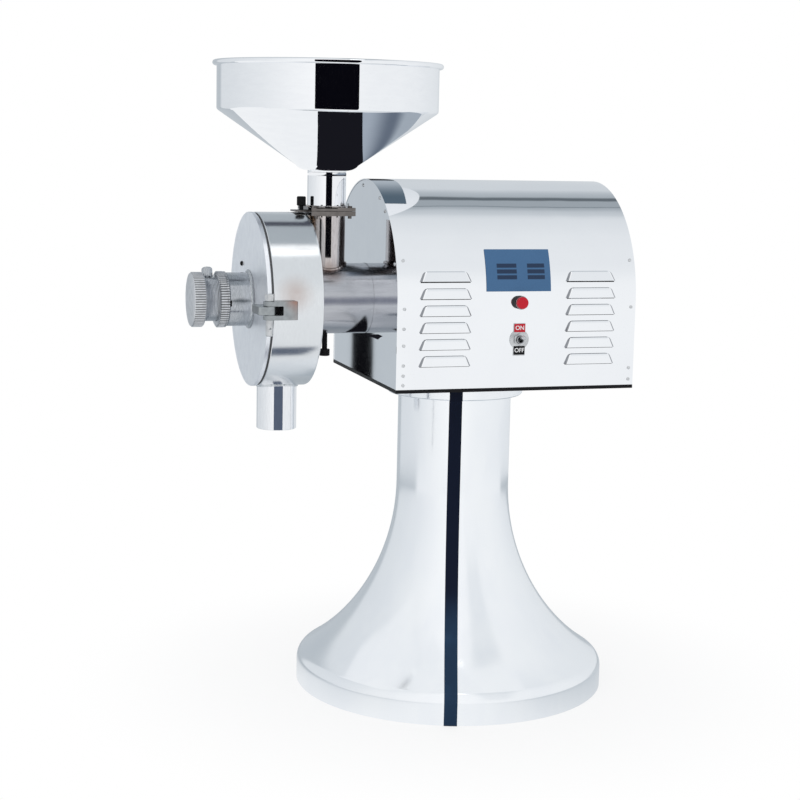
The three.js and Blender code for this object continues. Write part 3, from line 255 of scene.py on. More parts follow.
def knurled():
    """Steel with painted shade between a wheel's ridges."""
    made = steel("knurled_steel", "satin_steel", (0.74, 0.75, 0.77), (0.58, 0.59, 0.61),
                 rough=0.24, spread=0.12, grain=140)
    height = made.z - SPINDLE_Z * MM
    reach = (height * height + made.y * made.y).math("SQRT")
    ridges = (height.math("ARCTAN2", made.y) * KNURLS).math("COSINE")
    # Painted shade: the grooves between the ridges turn near black.
    mask = ridges.step(-0.2, 0.9) * reach.step(37.0 * MM, 37.4 * MM)
    made.set(Base_Color=made.blend(mask * 0.85, made.color, (0.03, 0.03, 0.032)))


def pressed():
    """Bright sheet with painted shade, a dark grey line, on the steep borders of its pressed hoods."""
    made = steel("housing_sheet", "mirror_steel", (0.95, 0.96, 0.975), (0.92, 0.93, 0.95),
                 rough=0.025, spread=0.02, grain=6, wave=0.85, skin=0)
    facing = node(made.tree, "ShaderNodeNewGeometry", out="Normal")
    # Painted shade: where the skin's normal leans partly along X, the sheet turns dark grey.
    border = abs(parts_of(made.tree, facing)[0]).window(0.35, 0.93, 0.06)
    made.set(Base_Color=made.blend(border * 0.75, made.color, (0.11, 0.12, 0.14)))


def with_flange(made, low, high):
    """Darkens a tube's welded flange, which keeps its mill scale, between two heights."""
    mask = made.z.window(low * MM, high * MM, 0.3 * MM)
    scale = made.blend(made.noise(120, 3), SCALE_DARK, SCALE_LIGHT)
    made.set(Base_Color=made.blend(mask, made.color, scale))


# Colours of heat tint and scale, colours of painted reflections, and where they lie
BROWN, STRAW = (0.17, 0.09, 0.06), (0.42, 0.30, 0.20)
TOP_REFLECTION, DARK_BROWN = (0.07, 0.065, 0.06), (0.05, 0.035, 0.035)
SCALE_LIGHT, SCALE_DARK = (0.24, 0.22, 0.21), (0.10, 0.09, 0.085)
WELD_TINTS = [((FEED_X - 26, 0, 616), 42, BROWN, 0.9), ((FEED_X, -34, 612), 26, BROWN, 0.7)]
# Painted reflections on the bearing tube: dark along its top, a bluish band along its near side, and bluish
# patches by its collar.
TUBE_REFLECTIONS = ([((x, 16, 620), 22, TOP_REFLECTION, 0.9) for x in range(-184, -92, 9)] +
              [((x, -TUBE_RADIUS, SPINDLE_Z + 1), 9, (0.20, 0.21, 0.26), 0.9) for x in range(-228, -92, 6)] +
              [((-108, -TUBE_RADIUS * sin(turn), SPINDLE_Z + TUBE_RADIUS * cos(turn)), 27,
                (0.20, 0.22, 0.27), 0.75) for turn in (0.5, 1.0, 1.5, 2.0)])
# On the feed pipe: straw heat tint on its left, and a painted dark reflection down its right edge.
PIPE_TINTS_AND_REFLECTION = ([((FEED_X - 26, -9, z), 24, STRAW, 0.9) for z in (640, 664, 688)] +
              [((FEED_X + 22, -16.5, z), 15, DARK_BROWN, 1.0) for z in range(614, 692, 6)])
DRUM_TINTS = [((-272, -122, 590), 34, (0.45, 0.30, 0.24), 0.5)]
BRACKET_TINTS = [((-274, -140, 584), 22, (0.40, 0.22, 0.17), 0.9),
                 ((-273, -128, 562), 20, (0.42, 0.26, 0.22), 0.8)]


def steels():
    """Every steel of the mill, and its two other metals."""
    steel("hopper_sheet", "mirror_steel", (0.94, 0.95, 0.965), (0.91, 0.92, 0.94),
          rough=0.015, spread=0.02, grain=40, stretch=(1, 1, 4), wave=0.25, wave_scale=7, skin=0.002)
    pressed()
    steel("end_plate_sheet", "mirror_steel", (0.94, 0.955, 0.975), (0.91, 0.925, 0.95),
          rough=0.01, spread=0.012, grain=30, wave=0.05, wave_scale=6, skin=0.001)
    steel("stand_sheet", "mirror_steel", (0.95, 0.965, 0.98), (0.90, 0.92, 0.95),
          rough=0.09, spread=0.07, grain=16, stretch=(1, 1, 0.3), wave=0.5)
    steel("spout_tube", "mirror_steel", (0.92, 0.93, 0.95), (0.84, 0.85, 0.87),
          rough=0.03, spread=0.03, grain=90, stretch=(8, 8, 1), wave=0.03, skin=0.002)
    with_flange(steel("neck_tube", "mirror_steel", (0.96, 0.965, 0.98), (0.92, 0.925, 0.94),
                      rough=0.02, spread=0.02, grain=90, stretch=(8, 8, 1), wave=0.02, skin=0.001),
                low=697, high=703)
    steel("drum_sheet", "satin_steel", (0.82, 0.84, 0.855), (0.74, 0.76, 0.78),
          rough=0.13, spread=0.06, grain=160, stretch=(14, 1, 1), wave=0.10, wave_scale=20, tints_and_reflections=DRUM_TINTS)
    steel("cover_face", "mirror_steel", (0.95, 0.97, 1.0), (0.88, 0.90, 0.94),
          rough=0.30, spread=0.10, grain=70, stretch=(10, 1, 1), wave=0.10, wave_scale=14)
    steel("turned_steel", "satin_steel", (0.56, 0.58, 0.61), (0.36, 0.38, 0.40),
          rough=0.12, spread=0.10, grain=180, stretch=(9, 1, 1), wave=0.02)
    steel("sleeve_steel", "satin_steel", (0.56, 0.58, 0.61), (0.44, 0.46, 0.49),
          rough=0.18, spread=0.04, grain=30, skin=0)
    steel("bearing_tube_steel", "satin_steel", (0.50, 0.51, 0.54), (0.42, 0.43, 0.46),
          rough=0.14, spread=0.05, grain=14, stretch=(1, 8, 8), wave=0.05, wave_scale=20,
          tints_and_reflections=WELD_TINTS + TUBE_REFLECTIONS)
    with_flange(steel("feed_tube_steel", "satin_steel", (0.66, 0.62, 0.61), (0.54, 0.50, 0.49),
                      rough=0.06, spread=0.05, grain=110, stretch=(8, 8, 1), wave=0.03, wave_scale=20,
                      tints_and_reflections=WELD_TINTS + PIPE_TINTS_AND_REFLECTION), low=690, high=698)
    steel("flange_steel", "satin_steel", SCALE_LIGHT, SCALE_DARK, rough=0.25, spread=0.12, grain=120)
    steel("bracket_steel", "satin_steel", (0.42, 0.45, 0.46), (0.30, 0.32, 0.33),
          rough=0.22, spread=0.14, grain=150, wave=0.03, wave_scale=30, tints_and_reflections=BRACKET_TINTS)
    steel("plain_steel", "satin_steel", (0.70, 0.71, 0.72), (0.52, 0.53, 0.54),
          rough=0.20, spread=0.12, grain=150)
    steel("hard_steel", "dark_steel", (0.46, 0.47, 0.49), (0.33, 0.34, 0.35),
          rough=0.30, spread=0.15, grain=120)
    steel("cast_iron", "cast_iron", (0.40, 0.41, 0.43), (0.28, 0.29, 0.30),
          rough=0.55, spread=0.2, grain=200, wave=0.05, wave_scale=60, skin=0.02)
    steel("brass", "brass", (0.76, 0.60, 0.32), (0.60, 0.46, 0.22),
          rough=0.25, spread=0.12, grain=150, stretch=(9, 1, 1))
    knurled()


def painted(name, slot, color, shade, rough, grain, bumpy=0.02, specular=0.3):
    """Paint or plastic: two close shades, uneven gloss and a fine skin."""
    made = Finish(name, slot, Specular_IOR_Level=specular)
    fine = made.noise(grain, 3, roughness=0.6)
    broad = made.noise(grain / 9, 2)
    made.color = made.blend(fine * 0.4 + broad * 0.6, shade, color)
    made.set(Base_Color=made.color, Roughness=rough + 0.12 * fine + 0.08 * broad)
    made.bump(fine * bumpy + broad * bumpy)
    return made


def paints():
    """Every paint, plastic and print of the mill."""
    painted("motor_paint", "motor_grey", (0.50, 0.54, 0.57), (0.42, 0.46, 0.49),
            rough=0.45, grain=160, bumpy=0.05)
    painted("black_paint", "black_paint", (0.010, 0.010, 0.012), (0.006, 0.006, 0.007),
            rough=0.35, grain=180, specular=0.1)
    painted("black_plastic", "black_plastic", (0.010, 0.010, 0.011), (0.006, 0.006, 0.007),
            rough=0.4, grain=260, specular=0.1)
    painted("red_plastic", "red_plastic", (0.56, 0.004, 0.020), (0.44, 0.003, 0.014),
            rough=0.25, grain=260, bumpy=0.01)
    painted("white_print", "red_plastic", (0.85, 0.85, 0.85), (0.78, 0.78, 0.78),
            rough=0.4, grain=300, bumpy=0.004)
    painted("silicone", "silicone", (0.045, 0.047, 0.052), (0.03, 0.031, 0.035), rough=0.6, grain=300)
    painted("joint_rubber", "silicone", (0.10, 0.102, 0.106), (0.07, 0.072, 0.076),
            rough=0.6, grain=300, specular=0.1)
    navy_strip()
    blue_plate()


def navy_strip():
    """A dark foil strip with a painted reflection that makes it bluer and lighter towards its foot."""
    made = painted("navy_strip", "navy_strip", (0.006, 0.010, 0.026), (0.003, 0.006, 0.018),
                   rough=0.15, grain=40, specular=0.06)
    # Painted reflection: from 0.17 m down to 0.10 m the strip fades to a streaky blue.
    low = 1 - made.z.step(0.10, 0.17)
    streaks = made.noise(20, 2, (1, 1, 0.4)).step(0.35, 0.7)
    made.set(Base_Color=made.blend(low * (0.6 + 0.4 * streaks), made.color, (0.020, 0.050, 0.100)))


def blue_plate():
    """A printed foil plate: blue, with two groups of three dark bars."""
    made = painted("blue_plate", "blue_plate", (0.062, 0.145, 0.280), (0.050, 0.125, 0.245),
                   rough=0.3, grain=220, bumpy=0.004, specular=0.2)
    groups = made.x.window(2.0 * MM, 30.9 * MM, 0.4 * MM) + made.x.window(46.5 * MM, 71.9 * MM, 0.4 * MM)
    bars = made.z.window(619.6 * MM, 625.2 * MM, 0.5 * MM)
    for low in (611.8, 627.4):
        bars = bars + made.z.window(low * MM, (low + 5.6) * MM, 0.5 * MM)
    made.set(Base_Color=made.blend(groups * bars * 0.85, made.color, (0.010, 0.018, 0.045)))


steels()
paints()

# Shapes
AXES = {
    "x": (Vector((0, 1, 0)), Vector((0, 0, 1)), Vector((1, 0, 0))),
    "y": (Vector((0, 0, 1)), Vector((1, 0, 0)), Vector((0, 1, 0))),
    "z": (Vector((1, 0, 0)), Vector((0, 1, 0)), Vector((0, 0, 1))),
}


def shape(name, corners, faces):
    """A mesh object from corners in millimetres, welded, with its faces pointing out."""
    mesh = bpy.data.meshes.new(name)
    mesh.from_pydata([Vector(c) * MM for c in corners], [], faces)
    bm = bmesh.new()
    bm.from_mesh(mesh)
    bmesh.ops.remove_doubles(bm, verts=bm.verts, dist=1e-6)
    bmesh.ops.dissolve_degenerate(bm, edges=bm.edges, dist=1e-7)
    bmesh.ops.recalc_face_normals(bm, faces=bm.faces)
    bm.to_mesh(mesh)
    bm.free()
    made = bpy.data.objects.new(name, mesh)
    scene.collection.objects.link(made)
    return made


def grid(name, rings, closed_way=False):
    """Joins rings of equal length; open ways get a cap at each end."""
    count, corners = len(rings[0]), [c for ring in rings for c in ring]
    faces, last = [], len(rings) if closed_way else len(rings) - 1
    for i in range(last):
        a, b = i * count, (i + 1) % len(rings) * count
        for j in range(count):
            k = (j + 1) % count
            faces.append((a + j, a + k, b + k, b + j))
    if not closed_way:
        faces += [tuple(range(count)), tuple(range(len(corners) - count, len(corners)))]
    return shape(name, corners, faces)


def turned(name, axis, profile, at=(0, 0, 0), sides=96, closed=False, rim=None):
    """A profile of (radius, along) turned about an axis; rim may vary the radius round it."""
    u, v, w = AXES[axis]
    rings = []
    for radius, along in profile:
        ring = []
        for i in range(sides):
            angle = 2 * pi * i / sides
            reach = radius + (rim(angle, radius, along) if rim else 0)
            ring.append(Vector(at) + (u * cos(angle) + v * sin(angle)) * reach + w * along)
        rings.append(ring)
    return grid(name, rings, closed_way=closed)


def tube(name, axis, outer, inner, start, end, at=(0, 0, 0), sides=96):
    """A pipe between two radii."""
    profile = [(inner, start), (outer, start), (outer, end), (inner, end)]
    return turned(name, axis, profile, at, sides, True)


def rod(name, axis, radius, start, end, at=(0, 0, 0), sides=48):
    """A solid cylinder."""
    return turned(name, axis, [(radius, start), (radius, end)], at, sides)


def extruded(name, axis, outline, start, end):
    """An outline carried along an axis."""
    u, v, w = AXES[axis]
    return grid(name, [[u * a + v * b + w * along for a, b in outline] for along in (start, end)])


def block(name, x, y, z):
    """A box from its three spans."""
    return extruded(name, "z", [(x[0], y[0]), (x[1], y[0]), (x[1], y[1]), (x[0], y[1])], *z)


def applied(piece):
    """Turns a piece's modifiers into its mesh."""
    graph = bpy.context.evaluated_depsgraph_get()
    mesh, old = bpy.data.meshes.new_from_object(piece.evaluated_get(graph)), piece.data
    piece.modifiers.clear()
    piece.data = mesh
    bpy.data.meshes.remove(old)
    return piece


def combined(piece, operation, tools):
    """Cuts or joins a piece with tools, which are used up."""
    for tool in tools:
        step = piece.modifiers.new("combine", "BOOLEAN")
        step.operation, step.solver, step.object = operation, "EXACT", tool
    applied(piece)
    for tool in tools:
        bpy.data.objects.remove(tool)
    return piece


def cut(piece, *tools):
    """Takes tools out of a piece."""
    return combined(piece, "DIFFERENCE", tools)


def joined(piece, *tools):
    """Makes one body of a piece and tools that meet it."""
    return combined(piece, "UNION", tools)


def eased(piece, width, segments=2, angle=35):
    """Rounds the edges sharper than an angle."""
    step = piece.modifiers.new("ease", "BEVEL")
    step.width, step.segments = width * MM, segments
    step.limit_method, step.angle_limit = "ANGLE", radians(angle)
    return applied(piece)


def merged(name, pieces):
    """One object from several that don't touch each other."""
    bm = bmesh.new()
    for piece in pieces:
        bm.from_mesh(piece.data)
        bpy.data.objects.remove(piece)
    mesh = bpy.data.meshes.new(name)
    bm.to_mesh(mesh)
    bm.free()
    made = bpy.data.objects.new(name, mesh)
    scene.collection.objects.link(made)
    return made


def moved(piece, x=0, y=0, z=0, turn=None):
    """Turns a mesh about the origin by (axis, degrees), then moves it."""
    if turn:
        piece.data.transform(Matrix.Rotation(radians(turn[1]), 4, turn[0]))
    piece.data.transform(Matrix.Translation(Vector((x, y, z)) * MM))
    return piece


def fitted(piece, body, finish, *nodes, sharp=32):
    """Gives a piece its finish, rides it on its body and lets it stand for CAD nodes."""
    made = finishes[finish]
    piece.data.materials.clear()
    piece.data.materials.append(made.material)
    piece.data.shade_smooth()
    piece.data.set_sharp_from_angle(angle=radians(sharp))
    step = piece.modifiers.new("level normals", "WEIGHTED_NORMAL")
    step.keep_sharp = True
    applied(piece)
    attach(piece, body)
    if nodes:
        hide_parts(*nodes)
    return piece


def kept(finish, *nodes):
    """Gives CAD nodes that stay as they are a finish."""
    for name in nodes:
        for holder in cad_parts[name].material_slots:
            holder.material = finishes[finish].material


def arc(middle, radius, start, end, steps):
    """Points on a circle in a plane, angles in degrees."""
    return [(middle[0] + radius * cos(radians(start + (end - start) * i / steps)),
             middle[1] + radius * sin(radians(start + (end - start) * i / steps))) for i in range(steps + 1)]


def around(radius, count):
    """Points evenly spaced on a whole circle about the origin of a plane."""
    return [(radius * cos(2 * pi * i / count), radius * sin(2 * pi * i / count)) for i in range(count)]


# Pedestal
BASE_RADIUS, RIM_TOP, SHOULDER_TOP = 227.0, 30.0, 47.0
RIM_BEND = (226.4, 41.5)
STAND_WALL = 2.0
NECK_RADIUS, NECK_FOOT, NECK_TOP = 82.5, 300.0, 448.0
FLARE_TURN = 58.0
SHOULDER_INSET = 11.0
COLLAR_BOTTOM, COLLAR_TOP, COLLAR_RADIUS = 434.0, 457.0, 99.0
STRIP_WIDTH, STRIP_THICKNESS, STRIP_TURN = 18.5, 1.2, 17.7


def stand_outline(offset):
    """The shell's (radius, z) from its foot up, moved out by an offset."""
    turn, shoulder = radians(FLARE_TURN), BASE_RADIUS - SHOULDER_INSET
    reach = (shoulder - NECK_RADIUS) / (1 - cos(turn))
    drop = (NECK_FOOT - SHOULDER_TOP) / sin(turn)
    foot, bend, top = Vector((BASE_RADIUS, RIM_TOP)), Vector(RIM_BEND), Vector((shoulder, SHOULDER_TOP))
    points = [(BASE_RADIUS - 1.2, GAP), (BASE_RADIUS, GAP + 1.2), (BASE_RADIUS, RIM_TOP - 4)]
    for i in range(11):
        t = i / 10
        points.append(tuple(foot * (1 - t) ** 2 + bend * 2 * t * (1 - t) + top * t * t))
    for i in range(1, 41):
        angle = turn * (1 - i / 40)
        points.append((NECK_RADIUS + reach * (1 - cos(angle)), NECK_FOOT - drop * sin(angle)))
    points.append((NECK_RADIUS, NECK_TOP))
    return [(radius + offset, z) for radius, z in points]


def strip_row(inner, z):
    """The strip's outline at a height, wrapped round an inner radius."""
    row = []
    for radius, places in ((inner + STRIP_THICKNESS, range(-4, 5)), (inner, range(4, -5, -1))):
        for i in places:
            angle = radians(-90 - STRIP_TURN) + asin(i / 8 * STRIP_WIDTH / radius)
            row.append((radius * cos(angle), radius * sin(angle), z))
    return row


def pedestal():
    """Flared shell, the strip down its front and over the collar, and the collar."""
    outline = stand_outline(0) + stand_outline(-STAND_WALL)[::-1]
    shell = turned("stand_skin", "z", outline, sides=192, closed=True)
    fitted(shell, "machine", "stand_sheet", "stand_shell")
    rows = [strip_row(radius + GAP, min(z, COLLAR_BOTTOM - GAP)) for radius, z in stand_outline(0)]
    fitted(grid("front_strip", rows), "machine", "navy_strip", "stand_trim_strip")
    rows = [strip_row(COLLAR_RADIUS + GAP, z) for z in (COLLAR_BOTTOM, COLLAR_TOP - GAP)]
    fitted(eased(grid("collar_strip", rows), 0.2, 2, 60), "machine", "navy_strip")
    collar = turned("collar_ring", "z", [
        (NECK_RADIUS + GAP, COLLAR_BOTTOM), (COLLAR_RADIUS - 1.5, COLLAR_BOTTOM),
        (COLLAR_RADIUS, COLLAR_BOTTOM + 1.5), (COLLAR_RADIUS, COLLAR_TOP - 1),
        (COLLAR_RADIUS - 1, COLLAR_TOP), (20, COLLAR_TOP), (20, NECK_TOP + GAP),
        (NECK_RADIUS + GAP, NECK_TOP + GAP)], sides=128, closed=True)
    fitted(collar, "machine", "stand_sheet", "stand_collar")
    kept("cast_iron", "stand_base_plate", "stand_column")
    kept("black_paint", "base_plate")


# Housing
ARCH_RADIUS, ARCH_Z, FLOOR_Z = 162.5, 579.3, 462.3
HOUSING_X = tuple(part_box("housing_cover")[i][0] / MM for i in (0, 1))
WALL, PLATE_INSET, PLATE_LIP = 1.5, 0.6, 18.0
GLAND = (0, 90, FLOOR_Z + 28)
# A side is straight up to here; girth goes on from it round the roof.
SIDE = ARCH_Z - FLOOR_Z
LOUVRE = dict(rows=6, low=31.5, pitch=23.0, width=74.5, slope=6.5, height=14.5, depth=4.5, sheet=1.2,
              margin=31.5)


def arch(inset):
    """The housing's end view, a round roof on straight sides."""
    reach = ARCH_RADIUS - inset
    return [(reach, FLOOR_Z)] + arc((0, ARCH_Z), reach, 0, 180, 96) + [(-reach, FLOOR_Z)]


def bent_sheet(name, inset, thickness, start, end):
    """Sheet bent to the arch, open at the bottom."""
    return extruded(name, "x", arch(inset) + arch(inset + thickness)[::-1], start, end)


def onto_side(piece, x, girth, side):
    """Moves a form made on the plane Y = 0, outside towards +Y, along the side's girth."""
    straight = min(girth, SIDE)
    turn = Matrix.Rotation((girth - straight) / ARCH_RADIUS, 4, "X")
    lift = Matrix.Translation(Vector((0, 0, ARCH_Z + straight - SIDE)) * MM)
    out = Matrix.Translation(Vector((0, ARCH_RADIUS, 0)) * MM)
    flip = Matrix.Diagonal((1, side, 1, 1))
    piece.data.transform(Matrix.Translation((x * MM, 0, 0)) @ flip @ lift @ turn @ out)
    if side < 0:
        piece.data.flip_normals()
    return piece


def louvre_form(name, width, slope, height, depth, bottom, root):
    """A pressed hood: steep rounded sides, a face that leans back upwards, rounded top corners."""
    corner, border, rings = 4.5, 4.5, []
    for i in range(13):
        rise = sin(pi / 2 * i / 12)
        over = max(0.0, 1 - (1 - rise) * (height - bottom) / corner)
        half = width / 2 - slope * rise - corner * (1 - sqrt(1 - over ** 2))
        lift = depth * (1 - 0.45 * rise) * sqrt(1 - over ** 3)
        edge = [(half - e, lift * sqrt(1 - (1 - e / border) ** 2)) for e in (0, 0.3, 0.9, 1.8, 3.0, border)]
        front = [(-x, y) for x, y in edge] + [(0, lift)] + edge[::-1]
        rings.append([(x, y - 0.05, bottom + (height - bottom) * rise)
                      for x, y in [(-half, -root), *front, (half, -root)]])
    return grid(name, rings)


def louvre_places():
    """(x, girth, side) of all 24 louvres."""
    offset = LOUVRE["margin"] + LOUVRE["width"] / 2
    return [(x, LOUVRE["low"] + row * LOUVRE["pitch"], side) for side in (-1, 1)
            for x in (HOUSING_X[0] + offset, HOUSING_X[1] - offset) for row in range(LOUVRE["rows"])]


def housing():
    """The bent sheet with its louvres and holes, the two end plates and all their screws."""
    width, slope, height, depth, sheet = (LOUVRE[k] for k in ("width", "slope", "height", "depth", "sheet"))
    hoods, hollows = [], []
    for x, girth, side in louvre_places():
        hoods.append(onto_side(louvre_form("hood", width, slope, height, depth, 0, 0.8), x, girth, side))
        hollows.append(onto_side(louvre_form("hollow", width - 2 * sheet, slope, height - 1.5 * sheet,
                                             depth - sheet, -sheet, 3), x, girth, side))
    skin = bent_sheet("housing_skin", 0, WALL, *HOUSING_X)
    joined(skin, merged("hoods", hoods))
    holes = [onto_side(rod("hole", "y", 6, -6, 6), RESET_X, RESET_GIRTH, -1),
             moved(rod("hole", "y", SWITCH_BORE, WALL_Y - 7.5, WALL_Y + 7.5), SWITCH_X, 0, SWITCH_Z)]
    cut(skin, merged("hollows", hollows + holes))
    fitted(skin, "machine", "housing_sheet", "housing_cover", sharp=24)
    end_plate("front_end_plate", "end_plate_left", HOUSING_X[0] + PLATE_INSET, 1,
              TUBE_RADIUS + 0.5, SPINDLE, 96)
    end_plate("back_end_plate", "end_plate_right", HOUSING_X[1] - PLATE_INSET, -1, 8.2, GLAND, 48)
    housing_screws()


def end_plate(name, node_name, face, way, hole, at, sides):
    """A plate with a lip along its edge that points into the housing, and one hole."""
    panel = extruded(name, "x", arch(WALL + GAP), *sorted((face, face + way * WALL)))
    joined(panel, bent_sheet("lip", WALL + GAP, WALL, *sorted((face, face + way * PLATE_LIP))))
    cut(panel, rod("hole", "x", hole, face - 10, face + 10, at, sides))
    fitted(panel, "machine", "end_plate_sheet", node_name)


def housing_screws():
    """Screws along the sheet's sides and rivets round the front plate, as one piece."""
    screws = []
    profile = [(0, 0.2), (2.3, 0.2), (2.2, 0.9), (1.6, 1.5), (0.7, 1.8), (0, 1.8)]
    for x, girths in ((HOUSING_X[0] + 10, (6, 19, 33, 60, 83, 110, 176)),
                      (HOUSING_X[1] - 7, (8, 24, 110, 176))):
        for girth in girths:
            for side in (-1, 1):
                screws.append(onto_side(turned("screw", "y", profile, sides=20), x, girth, side))
    face, reach = HOUSING_X[0] + PLATE_INSET, ARCH_RADIUS - 9
    profile = [(0, face - 0.1), (2.4, face - 0.1), (2.2, face - 0.9), (1.2, face - 1.5), (0, face - 1.6)]
    for angle in (20, 52, 84, 116, 128, 160):
        at = (0, reach * cos(radians(angle)), ARCH_Z + reach * sin(radians(angle)))
        screws.append(turned("rivet", "x", profile, at, 20))
    fitted(merged("housing_screws", screws), "machine", "plain_steel")


# What sits on the near side
PLATE_X, PLATE_GIRTH = (-13.75, 80.55), (133.0, 192.0)
RESET_X, RESET_GIRTH = 34.9, 118.0
SWITCH_X, SWITCH_Z, WALL_Y = 35.5, 529.0, -ARCH_RADIUS
SWITCH_BORE = 6.3
LEVER_TILT = 12.0


def data_plate():
    """A foil plate that follows the bend of the side."""
    rings = []
    inner, outer = ARCH_RADIUS + GAP, ARCH_RADIUS + GAP + 0.8
    for i in range(25):
        girth = PLATE_GIRTH[0] + (PLATE_GIRTH[1] - PLATE_GIRTH[0]) * i / 24
        angle = (girth - SIDE) / ARCH_RADIUS
        rings.append([(x, -reach * cos(angle), ARCH_Z + reach * sin(angle)) for reach, x in (
            (inner, PLATE_X[0]), (inner, PLATE_X[1]), (outer, PLATE_X[1]), (outer, PLATE_X[0]))])
    fitted(eased(grid("rating_plate", rings), 0.25, 2, 60), "machine", "blue_plate", "data_plate")


def reset_button():
    """Black body, bright rim and red cap, made on the plane of the side."""
    front = GAP + 8.5
    body = turned("reset_body", "y", [
        (0, front - 7), (8.5, front - 7), (8.5, front - 0.4), (8.7, front), (8.9, front), (9.3, front - 0.5),
        (9.3, GAP), (5.5, GAP), (5.5, -2.3), (9.3, -2.3), (9.3, -28.3), (0, -28.3)], sides=64)
    fitted(onto_side(body, RESET_X, RESET_GIRTH, -1), "machine", "black_plastic", "reset_button_body")
    bezel = tube("reset_bezel", "y", 9.0, 8.45, front - 0.3, front + 0.5, sides=64)
    fitted(onto_side(bezel, RESET_X, RESET_GIRTH, -1), "machine", "plain_steel")
    face = front + 4.5
    cap = turned("reset_cap", "y", [
        (0, front - 2.5), (8.2, front - 2.5), (8.2, face - 1.1), (7.9, face - 0.5), (7.2, face - 0.1),
        (6.2, face), (5.4, face - 0.3), (2.5, face - 0.45), (0, face - 0.5)], sides=64)
    fitted(onto_side(cap, RESET_X, RESET_GIRTH, -1), "reset_button", "red_plastic", "reset_button_cap")


def toggle_switch():
    """Backing plate with a round waist, crowned nut, lever and the two labels."""
    span = (WALL_Y - 1.3, WALL_Y - GAP)
    plate = block("switch_backing", (-8.5, 8.5), span, (-22.5, 22.5))
    joined(plate, rod("waist", "y", 14, *span, sides=72))
    cut(plate, rod("hole", "y", SWITCH_BORE, WALL_Y - 5, WALL_Y + 5))
    moved(eased(plate, 0.3), SWITCH_X, 0, SWITCH_Z)
    fitted(plate, "machine", "plain_steel", "switch_plate")
    front, back = WALL_Y - 4.6, WALL_Y - 1.6
    nut = extruded("switch_nut", "y", around(8.6, 6), front, back)
    crown = turned("crown", "y", [(0, front), (7.6, front), (9, front + 1), (9, back), (0, back)], sides=64)
    combined(nut, "INTERSECT", [crown])
    cut(nut, rod("hole", "y", 6.1, WALL_Y - 9, WALL_Y + 5))
    fitted(moved(nut, SWITCH_X, 0, SWITCH_Z), "machine", "plain_steel", "toggle_nut")
    lever = turned("switch_lever_tip", "y", [
        (0, -24), (1.6, -23.8), (2.6, -22.8), (3.0, -21.2), (3.0, -19.5), (2.2, -10), (1.8, -6), (1.9, -3.6),
        (3.4, -1.8), (3.8, 0), (3.5, 1.5), (2.2, 3.1), (0, 3.8)], sides=48)
    moved(lever, SWITCH_X, WALL_Y + 1.5, SWITCH_Z, ("X", -LEVER_TILT))
    fitted(lever, "switch_lever", "plain_steel", "toggle_lever")
    kept("hard_steel", "toggle_body")
    switch_label("on_label", "ON", "red_plastic", SWITCH_Z + 16, 11.5)
    switch_label("off_label", "OFF", "black_plastic", SWITCH_Z - 15, 12)


def switch_label(name, word, finish, z, height):
    """A label on the switch's plate and its word in raised print."""
    front = WALL_Y - 1.6
    label = block(name, (SWITCH_X - 8, SWITCH_X + 8), (front - 0.4, front), (z - height / 2, z + height / 2))
    fitted(eased(label, 0.12), "machine", finish)
    curve = bpy.data.curves.new(word, "FONT")
    curve.body, curve.size, curve.extrude = word, 8.2 * MM, 0.1 * MM
    curve.align_x, curve.align_y, curve.offset = "CENTER", "CENTER", 0.12 * MM
    letters = bpy.data.objects.new(name + "_letters", curve)
    scene.collection.objects.link(letters)
    mesh = bpy.data.meshes.new_from_object(letters.evaluated_get(bpy.context.evaluated_depsgraph_get()))
    bpy.data.objects.remove(letters)
    made = bpy.data.objects.new(name + "_letters", mesh)
    scene.collection.objects.link(made)
    moved(made, SWITCH_X, front - 0.45, z, ("X", 90))
    fitted(made, "machine", "white_print")


# Tubes, feed and hopper
TUBE_BORE, TUBE_X, COLLAR_X, TUBE_COLLAR = 27.0, (-231.2, -99.0), -109.0, 62.0
PIPE_RADIUS, NECK_PIPE = 26.7, 27.2
PIPE_WALL, BOWL_WALL = 2.0, 1.5
FLANGE_Z, RAIL_TOP, UPPER_Z = (690.6, 694.8), 697.1, (697.4, 702.2)
FLANGE_X, FLANGE_Y = (FEED_X - 31.75, FEED_X + 31.75), (-40.0, 40.0)
FLANGE_BOLTS = [(x, y) for x in (FLANGE_X[0] + 7.5, FLANGE_X[1] - 7.5) for y in (-36, 36)]
FLANGE_CUT = (680, 720)
BOWL_FOOT, CONE_TOP, BOWL_TOP, BOWL_RADIUS = 750.5, 835.0, 898.5, 155.2


def weld(name, points, radius, finish):
    """A rippled bead along a closed path of points, its rings turned to follow each other."""
    sides, rings = 10, []
    for i, point in enumerate(points):
        ahead = (Vector(points[(i + 1) % len(points)]) - Vector(points[i - 1])).normalized()
        side = ahead.orthogonal().normalized()
        up = ahead.cross(side)
        size = radius * (1 + 0.16 * sin(i * 1.9))
        rings.append([Vector(point) + (side * a + up * b) * size for a, b in around(1, sides)])

    def nearest(ring, corner):
        return min(range(sides), key=lambda k: (ring[k] - corner).length)

    aligned = [rings[0]]
    for ring in rings[1:]:
        best = nearest(ring, aligned[-1][0])
        aligned.append(ring[best:] + ring[:best])
    faces, last = [], len(aligned) - 1
    for i in range(last + 1):
        here, there = i * sides, (i + 1) % len(aligned) * sides
        shift = nearest(aligned[0], aligned[last][0]) if i == last else 0
        for j in range(sides):
            k = (j + 1) % sides
            faces.append((here + j, here + k, there + (k + shift) % sides, there + (j + shift) % sides))
    corners = [c for ring in aligned for c in ring]
    return fitted(shape(name, corners, faces), "machine", finish, sharp=180)


def saddle(x, upright, level, way):
    """The line where an upright pipe's radius meets a level one's, above or below the spindle."""
    return [(x + a, b, SPINDLE_Z + way * sqrt(level ** 2 - b * b)) for a, b in around(upright, 120)]


